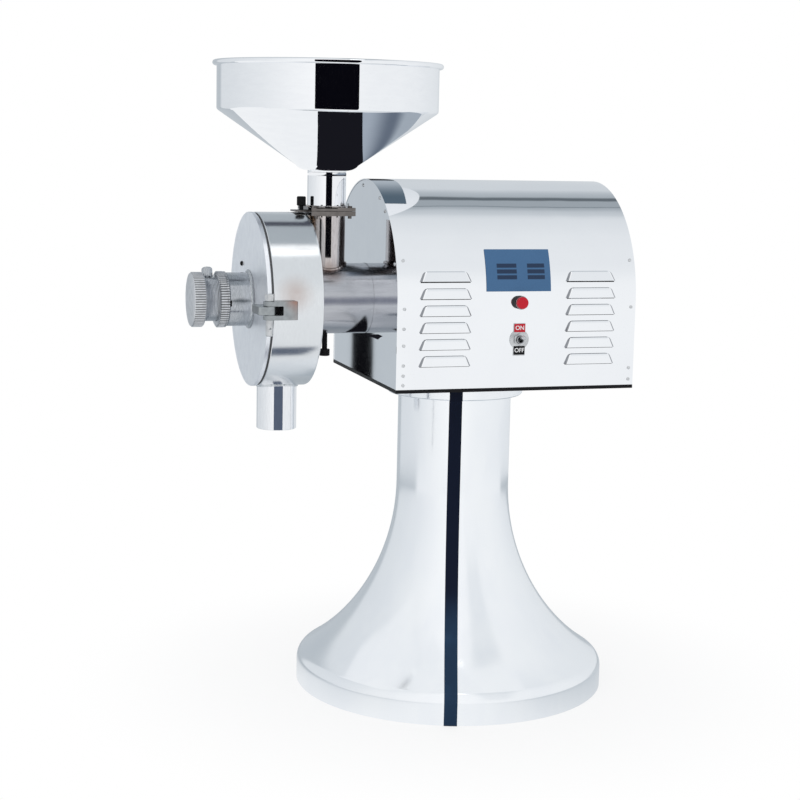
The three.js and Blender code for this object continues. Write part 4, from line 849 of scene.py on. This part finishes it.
def tubes():
    """The bearing tube with its bolt and weld, and the feed pipe with its flange and rails."""
    sleeve = turned("spindle_tube", "x", [
        (TUBE_BORE, TUBE_X[0]), (TUBE_RADIUS, TUBE_X[0]), (TUBE_RADIUS, COLLAR_X),
        (TUBE_COLLAR, COLLAR_X + 1), (TUBE_COLLAR, TUBE_X[1]), (TUBE_BORE, TUBE_X[1])], SPINDLE, 128, True)
    cut(sleeve, rod("hole", "z", 24.7, SPINDLE_Z, SPINDLE_Z + 60, FEED, 64),
        rod("hole", "z", 4.5, SPINDLE_Z - 60, SPINDLE_Z, FEED))
    fitted(sleeve, "machine", "bearing_tube_steel", "bearing_tube")
    bolt = turned("clamp_bolt", "z", [
        (0, -27), (4, -27), (4, -40), *[(4.0 - 0.35 * (i % 2), -41 - i * 0.6) for i in range(50)], (4, -72.4),
        (7.2, -72.5), (7.5, -73), (7.5, -81.2), (6.8, -82), (3.6, -82), (3.4, -78), (0, -78)],
        (FEED_X, 0, SPINDLE_Z), 40)
    fitted(bolt, "machine", "black_paint", "tube_bolt")
    pipe = tube("feed_tube", "z", PIPE_RADIUS, PIPE_RADIUS - PIPE_WALL, SPINDLE_Z, FLANGE_Z[1], FEED)
    cut(pipe, rod("saddle", "x", TUBE_RADIUS + GAP, FEED_X - 60, FEED_X + 60, SPINDLE, 128))
    plate = block("feed_plate", FLANGE_X, FLANGE_Y, FLANGE_Z)
    rails = [block("rail", FLANGE_X, span, (FLANGE_Z[0], RAIL_TOP)) for span in ((-40, -32), (32, 40))]
    joined(plate, *rails)
    cut(plate, rod("hole", "z", 26, *FLANGE_CUT, FEED),
        *[rod("hole", "z", 3.1, *FLANGE_CUT, (x, y, 0), 24) for x, y in FLANGE_BOLTS])
    fitted(joined(eased(plate, 0.4), pipe), "machine", "feed_tube_steel", "feed_pipe")
    weld("feed_weld", saddle(FEED_X, PIPE_RADIUS + 0.8, TUBE_RADIUS + 1, 1), 2.1, "feed_tube_steel")
    ring = [(TUBE_X[0] + 1.2, a, SPINDLE_Z + b) for a, b in around(TUBE_RADIUS + 0.6, 160)]
    weld("tube_weld", ring, 1.7, "bearing_tube_steel")
    kept("flange_steel", "slide_gate")


def hopper():
    """Neck with its flange, bolts and weld, the bowl, and the grip of the gate."""
    neck = tube("neck_tube", "z", NECK_PIPE, NECK_PIPE - PIPE_WALL, UPPER_Z[0] + 1, BOWL_FOOT - GAP, FEED)
    plate = block("neck_plate", FLANGE_X, FLANGE_Y, UPPER_Z)
    cut(plate, rod("hole", "z", 25.2, *FLANGE_CUT, FEED, 96))
    fitted(joined(eased(plate, 0.4), neck), "machine", "neck_tube", "hopper_neck")
    bolts = []
    for x, y in FLANGE_BOLTS:
        head = extruded("head", "z", [(x + a, y + b) for a, b in around(3.6, 6)],
                        UPPER_Z[1] - 0.05, UPPER_Z[1] + 2.4)
        shank = rod("shank", "z", 2.6, FLANGE_Z[0] - 3.6, UPPER_Z[0] + 0.1, (x, y, 0), 24)
        bolts += [eased(head, 0.4), shank]
    fitted(merged("flange_bolts", bolts), "machine", "flange_steel")
    ring = [(FEED_X + a, b, UPPER_Z[1] + 0.6) for a, b in around(NECK_PIPE + 0.5, 120)]
    weld("neck_weld", ring, 1.3, "feed_tube_steel")
    bend, foot = radians(65), BOWL_FOOT + 2.2
    outside = [(NECK_PIPE, BOWL_FOOT), (NECK_PIPE, foot)]
    for i in range(1, 13):
        angle = bend * i / 12
        outside.append((NECK_PIPE + 16.8 * sin(angle) / sin(bend),
                        foot + 7.3 * (1 - cos(angle)) / (1 - cos(bend))))
    outside += [
        (BOWL_RADIUS - 3, CONE_TOP - 2.3), (BOWL_RADIUS - 1.2, CONE_TOP - 0.7),
        (BOWL_RADIUS - 0.2, CONE_TOP + 0.8), (BOWL_RADIUS, CONE_TOP + 3), (BOWL_RADIUS, BOWL_TOP - 2.6)]
    bead = arc((BOWL_RADIUS + 2.2, BOWL_TOP), 3.7, -126, 180, 26)
    inside = [(r - BOWL_WALL, z + (0.6 if z < CONE_TOP - 5 else 0)) for r, z in outside[::-1]]
    inside[0] = (BOWL_RADIUS - BOWL_WALL, BOWL_TOP)
    bowl = turned("hopper_skin", "z", outside + bead + inside, FEED, 192, True)
    fitted(bowl, "machine", "hopper_sheet", "hopper_bowl", sharp=40)
    grip = turned("gate_grip", "z", [
        (0, 0), (3, 0), (3, 6), (5.6, 6.1), (6.1, 6.8), (6.1, 17.8), (5.4, 18.9), (0, 19)],
        (FLANGE_X[0] - 6.6, -7, UPPER_Z[0]), 120, rim=lambda a, r, z: 0.25 * cos(20 * a) if r > 6 else 0)
    fitted(grip, "gate", "black_plastic", "gate_knob")


# Grinding head
DRUM_X, DRUM_WALL, DRUM_RIM = (-301.0, -231.5), 8.0, 5.0
COVER_X, BOSS_END = (-310.0, -303.8), -343.3
COVER_FACE = COVER_X[0] - GAP
RING_X, KNOB_X = (-357.0, -343.6), (-394.4, -375.8)
SLEEVE_RADIUS, SLEEVE_HOLE = 30.4, 30.9
SPOUT_BORE, SPOUT_END = 26.2, 388.0


def head():
    """The grinding head: drum, spout and cover with all that they carry."""
    drum()
    spout()
    cover()
    thread()
    wheels()
    hinge()
    lock()


def drum():
    """The drum's shell and the rubber joint in its mouth."""
    (front, back), rim, mouth = DRUM_X, DRUM_RADIUS, DRUM_RADIUS - DRUM_RIM
    shell = turned("drum_shell", "x", [
        (TUBE_BORE, back), (rim - 2.5, back), (rim - 0.7, back - 0.7), (rim, back - 2.5),
        (rim, front + 0.8), (rim - 0.8, front), (mouth, front), (mouth, back - DRUM_WALL),
        (TUBE_BORE, back - DRUM_WALL)], SPINDLE, 192, True)
    cut(shell, rod("hole", "z", SPOUT_BORE, SPINDLE_Z - 140, SPINDLE_Z - 60, SPOUT, 96))
    fitted(shell, "machine", "drum_sheet", "drum")
    joint = tube("joint_ring", "x", rim - 1.4, rim - 4.6, front - 2.5, front - GAP, SPINDLE, 160)
    fitted(joint, "machine", "joint_rubber", "drum_gasket")


def drum_space(start, end):
    """What the drum takes from a piece that sits on it."""
    return rod("space", "x", DRUM_RADIUS + GAP, start, end, SPINDLE, 192)


def spout():
    """The outlet tube under the drum and its weld."""
    bore, outer, end, top = SPOUT_BORE, SPOUT_BORE + 2, SPOUT_END, SPINDLE_Z - 60
    pipe = turned("spout", "z", [
        (bore, end + 0.4), (bore + 0.4, end), (outer - 0.4, end), (outer, end + 0.4), (outer, top),
        (bore, top)], SPOUT, 128, True)
    cut(pipe, drum_space(-330, -200))
    fitted(pipe, "machine", "spout_tube", "outlet_spout")
    weld("spout_weld", saddle(SPOUT_X, outer + 0.6, DRUM_RADIUS + 0.7, -1), 1.5, "drum_sheet")


def cover():
    """The drum's cover with its spigot, boss, notch with a thin black block on its floor, and plug."""
    face, back = COVER_X
    rim, spigot = DRUM_RADIUS, DRUM_RADIUS - 6.2
    plate = turned("cover_plate", "x", [
        (SLEEVE_HOLE, face), (rim - 1.4, face), (rim - 0.4, face + 0.4), (rim, face + 1.4), (rim, back - 0.8),
        (rim - 0.8, back), (spigot, back), (spigot, back + 3), (spigot - 4, back + 3), (spigot - 4, back),
        (SLEEVE_HOLE, back)], SPINDLE, 192, True)
    fitted(plate, "cover", "cover_face", "front_cover")
    foot, end = COVER_FACE, BOSS_END
    boss = turned("boss_tube", "x", [
        (SLEEVE_HOLE, end), (36.7, end), (37.5, end + 0.8), (37.5, foot - 4), (38.2, foot - 2.4),
        (39.6, foot - 1.2), (41.5, foot - 0.4), (41.5, foot), (SLEEVE_HOLE, foot)], SPINDLE, 128, True)
    cut(boss, block("slot", (end - 5, end + 2.4), (-45, -35.5), (SPINDLE_Z - 6.75, SPINDLE_Z + 1.75)))
    fitted(boss, "cover", "turned_steel", "cover_boss")
    notch_block = block("notch_black_block", (end + 0.1, end + 2.3), (-36.6, -35.7), (SPINDLE_Z - 6.6, SPINDLE_Z + 1.6))
    fitted(eased(notch_block, 0.2), "cover", "black_plastic")
    at = (0, 63 * cos(radians(48)), SPINDLE_Z + 63 * sin(radians(48)))
    button = turned("cover_stud", "x", [
        (0, foot - 2.6), (1.6, foot - 2.5), (2.9, foot - 1.9), (3.4, foot - 1), (3.4, foot),
        (0, foot)], at, 40)
    fitted(button, "cover", "black_plastic", "cover_plug")


def thread():
    """The sleeve's outside thread: its loops follow the helix, a quarter of the pitch apart."""
    start, end, pitch, depth, sides = -375.5, -300.4, 2.0, 0.7, 96
    count = 4 * (ceil((end - start) / pitch) + 2) + 1
    corners = []
    for i in range(count):
        for j in range(sides):
            along = start + (i / 4 - 1 + j / sides) * pitch
            cut_in = depth * (0, 0.5, 1, 0.5)[i % 4] * (start + 0.4 < along < end - 0.4)
            reach, angle = SLEEVE_RADIUS - cut_in, 2 * pi * j / sides
            corners.append((max(start, min(end, along)), reach * cos(angle),
                            SPINDLE_Z + reach * sin(angle)))
    faces = [tuple(range(sides)), tuple(range((count - 1) * sides, count * sides))]
    for i in range(count - 1):
        for j in range(sides):
            row, k = (i, j + 1) if j < sides - 1 else (i + 4, 0)
            if row + 1 < count:
                faces.append((i * sides + j, row * sides + k, (row + 1) * sides + k, (i + 1) * sides + j))
    sleeve = shape("threaded_sleeve", corners, faces)
    cut(sleeve, rod("bore", "x", 18, -400, -309.4, SPINDLE))
    fitted(sleeve, "adjuster", "sleeve_steel", "adjuster_sleeve", sharp=60)


def ridge(count, depth, angle, sharpness=1.5):
    """How far the radius dips between rounded ridges round a wheel."""
    return -depth * (0.5 + 0.5 * cos(count * angle)) ** sharpness


def wheels():
    """Knurled knob with a domed face, the lock ring, and the screw between them."""
    front, back = KNOB_X

    def knob_rim(angle, radius, along):
        return ridge(KNURLS, 1.1, angle) if radius > 37.5 and along > front + 3.2 else 0

    dome = [(38.0 * sin(radians(t)), front + 3.4 * (1 - cos(radians(t))) * 0.8) for t in range(0, 76, 15)]
    knob = turned("knob_wheel", "x", dome + [
        (37.4, front + 3.1), (38.3, front + 3.9), (38.3, back - 2), (37.2, back - 0.6), (36.4, back),
        (0, back)], SPINDLE, 8 * KNURLS, rim=knob_rim)
    fitted(knob, "adjuster", "knurled_steel", "adjuster_knob")
    start, end = RING_X
    ring = turned("jam_ring", "x", [
        (SLEEVE_HOLE, start), (36.6, start), (38.3, start + 1.2), (39.3, start + 1.4), (39.3, end - 3.8),
        (38.4, end - 3.4), (38.4, end - 2.8), (39.0, end - 2.4), (39.0, end - 0.8), (38.2, end),
        (SLEEVE_HOLE, end)], SPINDLE, 8 * KNURLS, True,
        rim=lambda a, r, x: ridge(KNURLS, 1.0, a) if r > 39.1 else 0)
    fitted(ring, "locking_ring", "knurled_steel", "lock_ring")
    foot, top = 30.7, 46.1
    screw = turned("side_screw", "z", [
        (0, foot), (3.6, foot), (3.6, foot + 1), (7.0, foot + 1.2), (7.6, foot + 1.8), (7.6, top - 3),
        (7.0, top - 1.3), (5.8, top - 0.4), (4.4, top), (0, top)], sides=160,
        rim=lambda a, r, z: ridge(20, 0.45, a, 1) if r > 7.2 else 0)
    moved(screw, (KNOB_X[1] + RING_X[0]) / 2, 0, SPINDLE_Z)
    turn = Matrix.Translation((0, 0, SPINDLE_Z * MM)) @ Matrix.Rotation(radians(-20), 4, "X")
    screw.data.transform(turn @ Matrix.Translation((0, 0, -SPINDLE_Z * MM)))
    fitted(screw, "adjuster", "turned_steel", "knob_screw")
    kept("brass", "thrust_pad", "disc_nut")


# Hinge and lock
HINGE_X, HINGE_Y, HINGE_EYE, HINGE_BORE = -310.0, -133.0, 8.6, 5.5
HINGE_CUT, LOCK_CUT = (550, 590), (550, 600)
TONGUE_Z = (563.8, 575.2)
BRACKET_Z = (557.0, 582.0)


def hinge():
    """Slotted bracket, pin with a hexagon head, and the cover's tongue."""
    outer = HINGE_Y - HINGE_EYE
    outline = arc((HINGE_X, HINGE_Y), HINGE_EYE, 180, 270, 14)
    outline += [(-274.5, outer), (-273, outer + 1.5), (-273, -60), (HINGE_X, -60)]
    outline += arc((HINGE_X, HINGE_Y), HINGE_EYE, 90, 165, 10)
    lug = extruded("hinge_lug", "z", outline, *BRACKET_Z)
    slot = block("slot", (HINGE_X - 20, -293), (outer - 8, 0), (TONGUE_Z[0] - GAP, TONGUE_Z[1] + GAP))
    cut(lug, slot, rod("hole", "z", HINGE_BORE, *HINGE_CUT, (HINGE_X, HINGE_Y, 0)))
    eased(lug, 0.7)
    cut(lug, drum_space(-340, -220))
    fitted(lug, "machine", "bracket_steel", "hinge_bracket")
    shade = eased(block("hinge_slot_shade", (-300.2, -293.3), (-127, -125.5), TONGUE_Z), 0.3)
    fitted(shade, "machine", "black_plastic")
    pin = turned("hinge_shank", "z", [
        (0, -37), (4.4, -37), (5.2, -36), (5.2, 10.4), (0, 10.4)], (HINGE_X, HINGE_Y, SPINDLE_Z), 48)
    hexagon = [(HINGE_X + a, HINGE_Y + b) for a, b in around(7, 6)]
    joined(pin, eased(extruded("head", "z", hexagon, BRACKET_Z[1] + GAP, BRACKET_Z[1] + 9.9), 0.9))
    cut(pin, rod("hole", "y", 1.5, HINGE_Y - 12, HINGE_Y + 12, (HINGE_X, 0, SPINDLE_Z - 26.5), 24))
    fitted(pin, "machine", "plain_steel", "hinge_pin")
    tongue = extruded("tongue_eye", "z", arc((HINGE_X, HINGE_Y), HINGE_EYE, 0, 345, 46), *TONGUE_Z)
    arm = block("arm", (HINGE_X - 17, COVER_FACE), (outer, HINGE_Y + 33), TONGUE_Z)
    joined(tongue, eased(arm, 1.6, 3))
    cut(tongue, rod("hole", "z", HINGE_BORE, *HINGE_CUT, (HINGE_X, HINGE_Y, 0)))
    fitted(tongue, "cover", "bracket_steel", "hinge_tongue")


LOCK_X, LOCK_Y, LOCK_EYE, LOCK_BORE = -288.0, 137.0, 8.0, 4.3


def lock():
    """Slotted bracket, pin, swing bolt with its lobed grip, and the cover's slotted ear."""
    outer, at = LOCK_Y + LOCK_EYE, (LOCK_X, LOCK_Y, SPINDLE_Z)
    body = block("lock_lug", (LOCK_X - LOCK_EYE, LOCK_X + 20), (60, outer), (SPINDLE_Z - 12, SPINDLE_Z + 12))
    cut(body, block("slot", (LOCK_X - 20, LOCK_X + 10), (0, outer + 9), (SPINDLE_Z - 6, SPINDLE_Z + 6)),
        rod("hole", "z", LOCK_BORE, *LOCK_CUT, (LOCK_X, LOCK_Y, 0)))
    eased(body, 0.7)
    cut(body, drum_space(-340, -220))
    fitted(body, "machine", "bracket_steel", "lock_bracket")
    low, high = SPINDLE_Z - 15.2, SPINDLE_Z + 12.3
    pin = turned("lock_shank", "z", [
        (0, low), (3.6, low), (4, low + 0.5), (4, high), (6, high), (6, high + 2.4), (5.2, high + 3.2),
        (0, high + 3.2)], (LOCK_X, LOCK_Y, 0), 40)
    fitted(pin, "machine", "plain_steel", "lock_pin")
    eye = turned("swing_eye", "z", [
        (LOCK_BORE, -5.7), (7.4, -5.7), (LOCK_EYE, -5.1), (LOCK_EYE, 5.1), (7.4, 5.7), (LOCK_BORE, 5.7)],
        at, 48, True)
    profile = [(0, 5), (3.9, 5), (3.9, 12)] + [(4.0 - 0.4 * (i % 2), 13 + i * 0.6) for i in range(66)]
    joined(eye, turned("stud", "y", profile + [(3.6, 53.4), (3.2, 54), (0, 54)], at, 40))
    cut(eye, rod("hole", "z", LOCK_BORE, *LOCK_CUT, (LOCK_X, LOCK_Y, 0)))
    fitted(eye, "swing_bolt", "plain_steel", "eye_bolt")
    start = 31.9
    grip = turned("lobed_grip", "y", [
        (LOCK_BORE, start), (9, start), (11.4, start + 1), (13, start + 3), (13, start + 14),
        (11.4, start + 16.2), (9, start + 17), (LOCK_BORE, start + 17)], at, 96, True,
        rim=lambda a, r, y: ridge(6, 3.0, a, 1) if r > 8 else 0)
    fitted(grip, "lock_grip", "black_plastic", "lock_knob")
    face = COVER_FACE
    ear = block("cover_ear", (face - 8, face), (outer - 46, outer), (SPINDLE_Z - 14, SPINDLE_Z + 14))
    cut(ear, block("slot", (face - 20, face + 5), (outer - 18, outer + 9),
                   (SPINDLE_Z - 4.7, SPINDLE_Z + 4.7)))
    fitted(eased(ear, 0.9), "cover", "bracket_steel", "lock_ear")


def insides():
    """What the housing, the tube and the drum hide; most of it keeps its solid's shape."""
    kept("motor_paint", "motor_frame", "motor_front_bell", "motor_rear_bell", "fan_cowl")
    kept("black_plastic", "run_capacitor", "cooling_fan")
    kept("plain_steel", "spindle", "feed_auger", "front_bearing", "rear_bearing")
    kept("silicone", "shaft_seal")
    kept("hard_steel", "stationary_disc", "rotating_disc")
    gland = turned("gland_cap", "x", [
        (4.6, 200.6), (11, 200.6), (11, 206.6), (7.7, 206.6), (7.7, 208.7), (11, 208.7), (11, 214),
        (10.6, 214.5), (10.6, 217), (9.8, 218.7), (8.2, 222.7), (7.4, 223.1), (4.6, 223.1)], GLAND, 64, True)
    fitted(gland, "machine", "black_plastic", "cord_gland")


# Studio: levels of the room round the object, by degrees about Z from +X, and by Y / Z overhead
ROOM_ROUND = [
    (-180, 0.86), (-140, 0.96), (-117, 1.0), (-95, 1.0), (-76, 0.96), (-60, 0.94), (-27, 0.93), (0, 0.90),
    (50, 0.82), (80, 0.62), (100, 0.58), (108, 0.58), (114, 0.78), (140, 0.80), (165, 0.84), (180, 0.86)]
ROOM_ABOVE = [
    (-1, 0.87), (-0.5, 0.85), (-0.1, 0.79), (-0.03, 0.74), (0.02, 0.66), (0.10, 0.60), (0.17, 0.48),
    (0.208, 0.44), (0.216, 0.26), (0.224, 0.26), (0.235, 0.42), (0.38, 0.42), (0.42, 0.17), (0.49, 0.17),
    (0.55, 0.48), (0.7, 0.54), (1, 0.70)]
# The doorway behind the object: X / Y and Z / Y of its sides and heights, and their softness
DOOR_SIDES, DOOR_HEIGHTS = (-0.2955, -0.2825, 0.0008), (-0.160, -0.107, 0.006)
UP, DOWN, BACK, RIGHT = (0, 0, 1), (0, 0, -1), (0, 1, 0), (1, 0, 0)
# In metres: the floor, and cards under the bowl that look up and over the head that look down
FLOOR_RADIUS, UNDER_CARD_Z, ROOF_CARD_Z = 1.6, 0.7455, 0.748


def cool(level):
    """A grey that turns blue as it darkens."""
    return level * (0.70 + 0.28 * level), level * (0.86 + 0.13 * level), level


def sky():
    """White for the camera; soft and level for the object; a room with a dark doorway in reflections."""
    world = bpy.data.worlds.new("studio")
    world.use_nodes = True
    scene.world = world
    tree = world.node_tree
    tree.nodes.clear()
    seen, glossy, through = (node(tree, "ShaderNodeLightPath", out=name) for name in (
        "Is Camera Ray", "Is Glossy Ray", "Is Transmission Ray"))
    way = node(tree, "ShaderNodeTexCoord", out="Generated")
    x, y, z = parts_of(tree, way)
    wobble = node(tree, "ShaderNodeTexNoise", sockets={"Vector": way, "Scale": 3, "Detail": 2}) - 0.5
    turn = y.math("ARCTAN2", x) / (2 * pi) + 0.5
    room = node(tree, "ShaderNodeValToRGB", {"stops": [
        (degrees / 360 + 0.5, cool(level)) for degrees, level in ROOM_ROUND]}, {0: turn})
    tilt = (y / z.at_least(0.05) + wobble * 0.06) * 0.5 + 0.5
    roof = node(tree, "ShaderNodeValToRGB", {"stops": [
        ((ratio + 1) / 2, cool(level)) for ratio, level in ROOM_ABOVE]}, {0: tilt})
    color = blend(tree, z.step(0.12, 0.55) * x.window(0.16, 0.47, 0.04), room, roof)
    doorway = (x / y).window(*DOOR_SIDES) * (z / y).window(*DOOR_HEIGHTS) * y.step(0, 0.05)
    color = blend(tree, doorway, color, (0.002, 0.002, 0.003))
    color = blend(tree, glossy, (0.86, 0.87, 0.89), color)
    color = blend(tree, (seen + through).at_most(1), color, (1, 1, 1))
    light = node(tree, "ShaderNodeBackground", sockets={"Color": color})
    out = tree.nodes.new("ShaderNodeOutputWorld")
    tree.links.new(light.socket, out.inputs[0])


def floor():
    """White paper for the camera and for light; in reflections it darkens outwards and to the back."""
    made = Finish("floor_paper", None, Base_Color=(0.90, 0.90, 0.90), Roughness=0.9)
    tree = made.tree
    seen, glossy = (node(tree, "ShaderNodeLightPath", out=name) for name in (
        "Is Camera Ray", "Is Glossy Ray"))
    far = node(tree, "ShaderNodeVectorMath", {"operation": "LENGTH"}, {0: made.place}, 1)
    edge = abs(made.x + 0.09).step(0.02, 0.42) * (1 - far.step(0.45, 0.8))
    mirrored = made.blend(edge, cool(0.95), cool(0.66))
    mirrored = made.blend(made.y.step(0.0, 0.3), mirrored, cool(0.55))
    glow = node(tree, "ShaderNodeEmission", sockets={
        "Color": made.blend(glossy, (1, 1, 1), mirrored), "Strength": 1})
    made.mix((seen * (0.76 + 0.24 * far.step(0.25, 0.6)) + glossy).at_most(1), glow)
    ground = shape("floor", [(x, y, 0) for x, y in around(FLOOR_RADIUS / MM, 96)], [tuple(range(96))])
    ground.data.materials.append(made.material)


def card(name, color, facing, corners, fade=None, reach=None, first=False):
    """A card that only reflections see, and only from its front; corners are in metres.

    fade is an axis, where it starts and ends and the colour beyond; reach is the longest ray that meets
    the card; first keeps it to what the camera's own rays reflect.
    """
    made = Finish(name + "_paper", None, Base_Color=(0, 0, 0), Specular_IOR_Level=0, Emission_Color=color,
                  Emission_Strength=1)
    tree = made.tree
    if fade:
        axis, low, high, beyond = fade
        made.set(Emission_Color=made.blend(getattr(made, axis).step(low, high), color, beyond))
    clear = node(tree, "ShaderNodeNewGeometry", out="Backfacing")
    if reach:
        clear = clear + (node(tree, "ShaderNodeLightPath", out="Ray Length") > reach)
    if first:
        clear = clear + (node(tree, "ShaderNodeLightPath", out="Ray Depth") > 1.5)
    made.mix(clear.at_most(1), node(tree, "ShaderNodeBsdfTransparent"))
    panel = shape(name, [Vector(corner) / MM for corner in corners], [tuple(range(len(corners)))])
    if panel.data.polygons[0].normal.dot(Vector(facing)) < 0:
        panel.data.flip_normals()
    panel.data.materials.append(made.material)
    panel.visible_camera = panel.visible_diffuse = panel.visible_shadow = False


def flat(x, y, z):
    """The corners of a level card."""
    return [(x[0], y[0], z), (x[1], y[0], z), (x[1], y[1], z), (x[0], y[1], z)]


def lamp(name, place, target, size, power):
    """A lamp that lights the object and shows in no reflection; places are in metres."""
    data = bpy.data.lights.new(name, "AREA")
    data.shape, data.size, data.size_y, data.energy = "RECTANGLE", size[0], size[1], power
    made = bpy.data.objects.new(name, data)
    way = Vector(place) - Vector(target)
    made.matrix_world = Matrix.Translation(place) @ way.to_track_quat("Z", "Y").to_matrix().to_4x4()
    made.visible_glossy = False
    scene.collection.objects.link(made)


def under_cards():
    """What the cone's underside reflects: light, a dark bar, then two fading greys to the right."""
    level, near, far, middle = UNDER_CARD_Z, -0.12, 0.12, -0.085
    shade = (0.13, 0.16, 0.21)
    left = [(-0.250, near, level), (-0.183, far, level)]
    right = [(-0.162, near, level), (-0.102, far, level)]
    card("cone_left_card", cool(0.95), UP, [(-0.70, near, level), *left, (-0.70, far, level)])
    card("cone_dark_card", (0.009, 0.009, 0.013), UP, [*left, *right[::-1]])
    card("cone_shade_card", (0.36, 0.41, 0.48), UP,
         [right[0], (middle, near, level), (middle, far, level), right[1]], fade=("x", -0.15, -0.09, shade))
    card("cone_right_card", shade, UP, flat((middle, 0.0), (near, far), level),
         fade=("x", middle, -0.05, (0.36, 0.41, 0.47)))


def bar_cards():
    """Dark bars in front of the wall of the bowl, the neck and the feed pipe."""
    for name, (start, end), y, (low, high), reach in (
            ("wall_bar_card", (-0.284, -0.1837), -0.20, (0.80, 0.94), 0.08),
            ("neck_bar_card", (-0.2184, -0.1874), -0.06, (0.7005, 0.75), 0.045),
            ("pipe_bar_card", (-0.2184, -0.1874), -0.06, (0.629, 0.6885), 0.045)):
        corners = [(start, y, low), (end, y, low), (end, y, high), (start, y, high)]
        card(name, (0.002, 0.002, 0.004), BACK, corners, reach=reach)


def head_cards():
    """What the tube, the drum, the flange and the front edge of the roof reflect."""
    card("tube_dark_card", (0.01, 0.01, 0.014), UP, [(x, y, 0.5205) for x, y in (
        (-0.128, -0.10), (-0.121, -0.10), (-0.124, -0.05), (-0.124, -0.01), (-0.172, -0.01),
        (-0.150, -0.05))], reach=0.066, first=True)
    card("drum_band_card", (1.3, 1.3, 1.3), DOWN, flat((-0.40, -0.16), (-0.132, -0.116), 0.775))
    level, drum_ends = ROOF_CARD_Z, (-0.36, -0.205)
    card("drum_roof_card", cool(0.55), DOWN, flat(drum_ends, (-0.103, 0.13), level))
    card("drum_line_card", (0.06, 0.065, 0.09), DOWN, flat(drum_ends, (-0.026, -0.001), level - 0.001))
    card("tube_roof_card", (0.045, 0.05, 0.055), DOWN, flat((-0.17, -0.098), (0.0, 0.45), level))
    card("arch_roof_card", (0.09, 0.13, 0.17), DOWN, flat((-0.135, -0.098), (-0.085, 0.0), level),
         fade=("y", -0.07, -0.01, (0.40, 0.45, 0.50)))
    card("flange_card", cool(0.58), RIGHT, [(-0.1605, y, z) for y, z in (
        (-0.06, 0.686), (0.14, 0.686), (0.14, 0.78), (-0.06, 0.78))], first=True)


def studio():
    """The room, the floor, the cards and one lamp."""
    sky()
    floor()
    under_cards()
    bar_cards()
    head_cards()
    card("stand_card", cool(0.92), DOWN, flat((-0.20, 0.26), (-0.26, 0.22), 0.4325))
    card("head_card", cool(0.92), DOWN, flat((-0.42, -0.20), (-0.17, 0.17), 0.386))
    card("spout_card", (0.10, 0.125, 0.18), BACK, [(x, -0.15, z) for x, z in (
        (-0.345, 0.33), (-0.212, 0.33), (-0.212, 0.44), (-0.345, 0.44))], reach=0.19)
    card("high_card", (1.9, 1.9, 1.9), DOWN, flat((-0.09, 0.06), (-0.57, -0.32), 1.6))
    lamp("soft_box", (-1.2, -1.8, 2.2), (-0.1, 0, 0.5), (2.4, 1.8), 16)


add_camera()
pedestal()
housing()
data_plate()
reset_button()
toggle_switch()
tubes()
hopper()
head()
insides()
studio()
scene.view_settings.view_transform = "Standard"
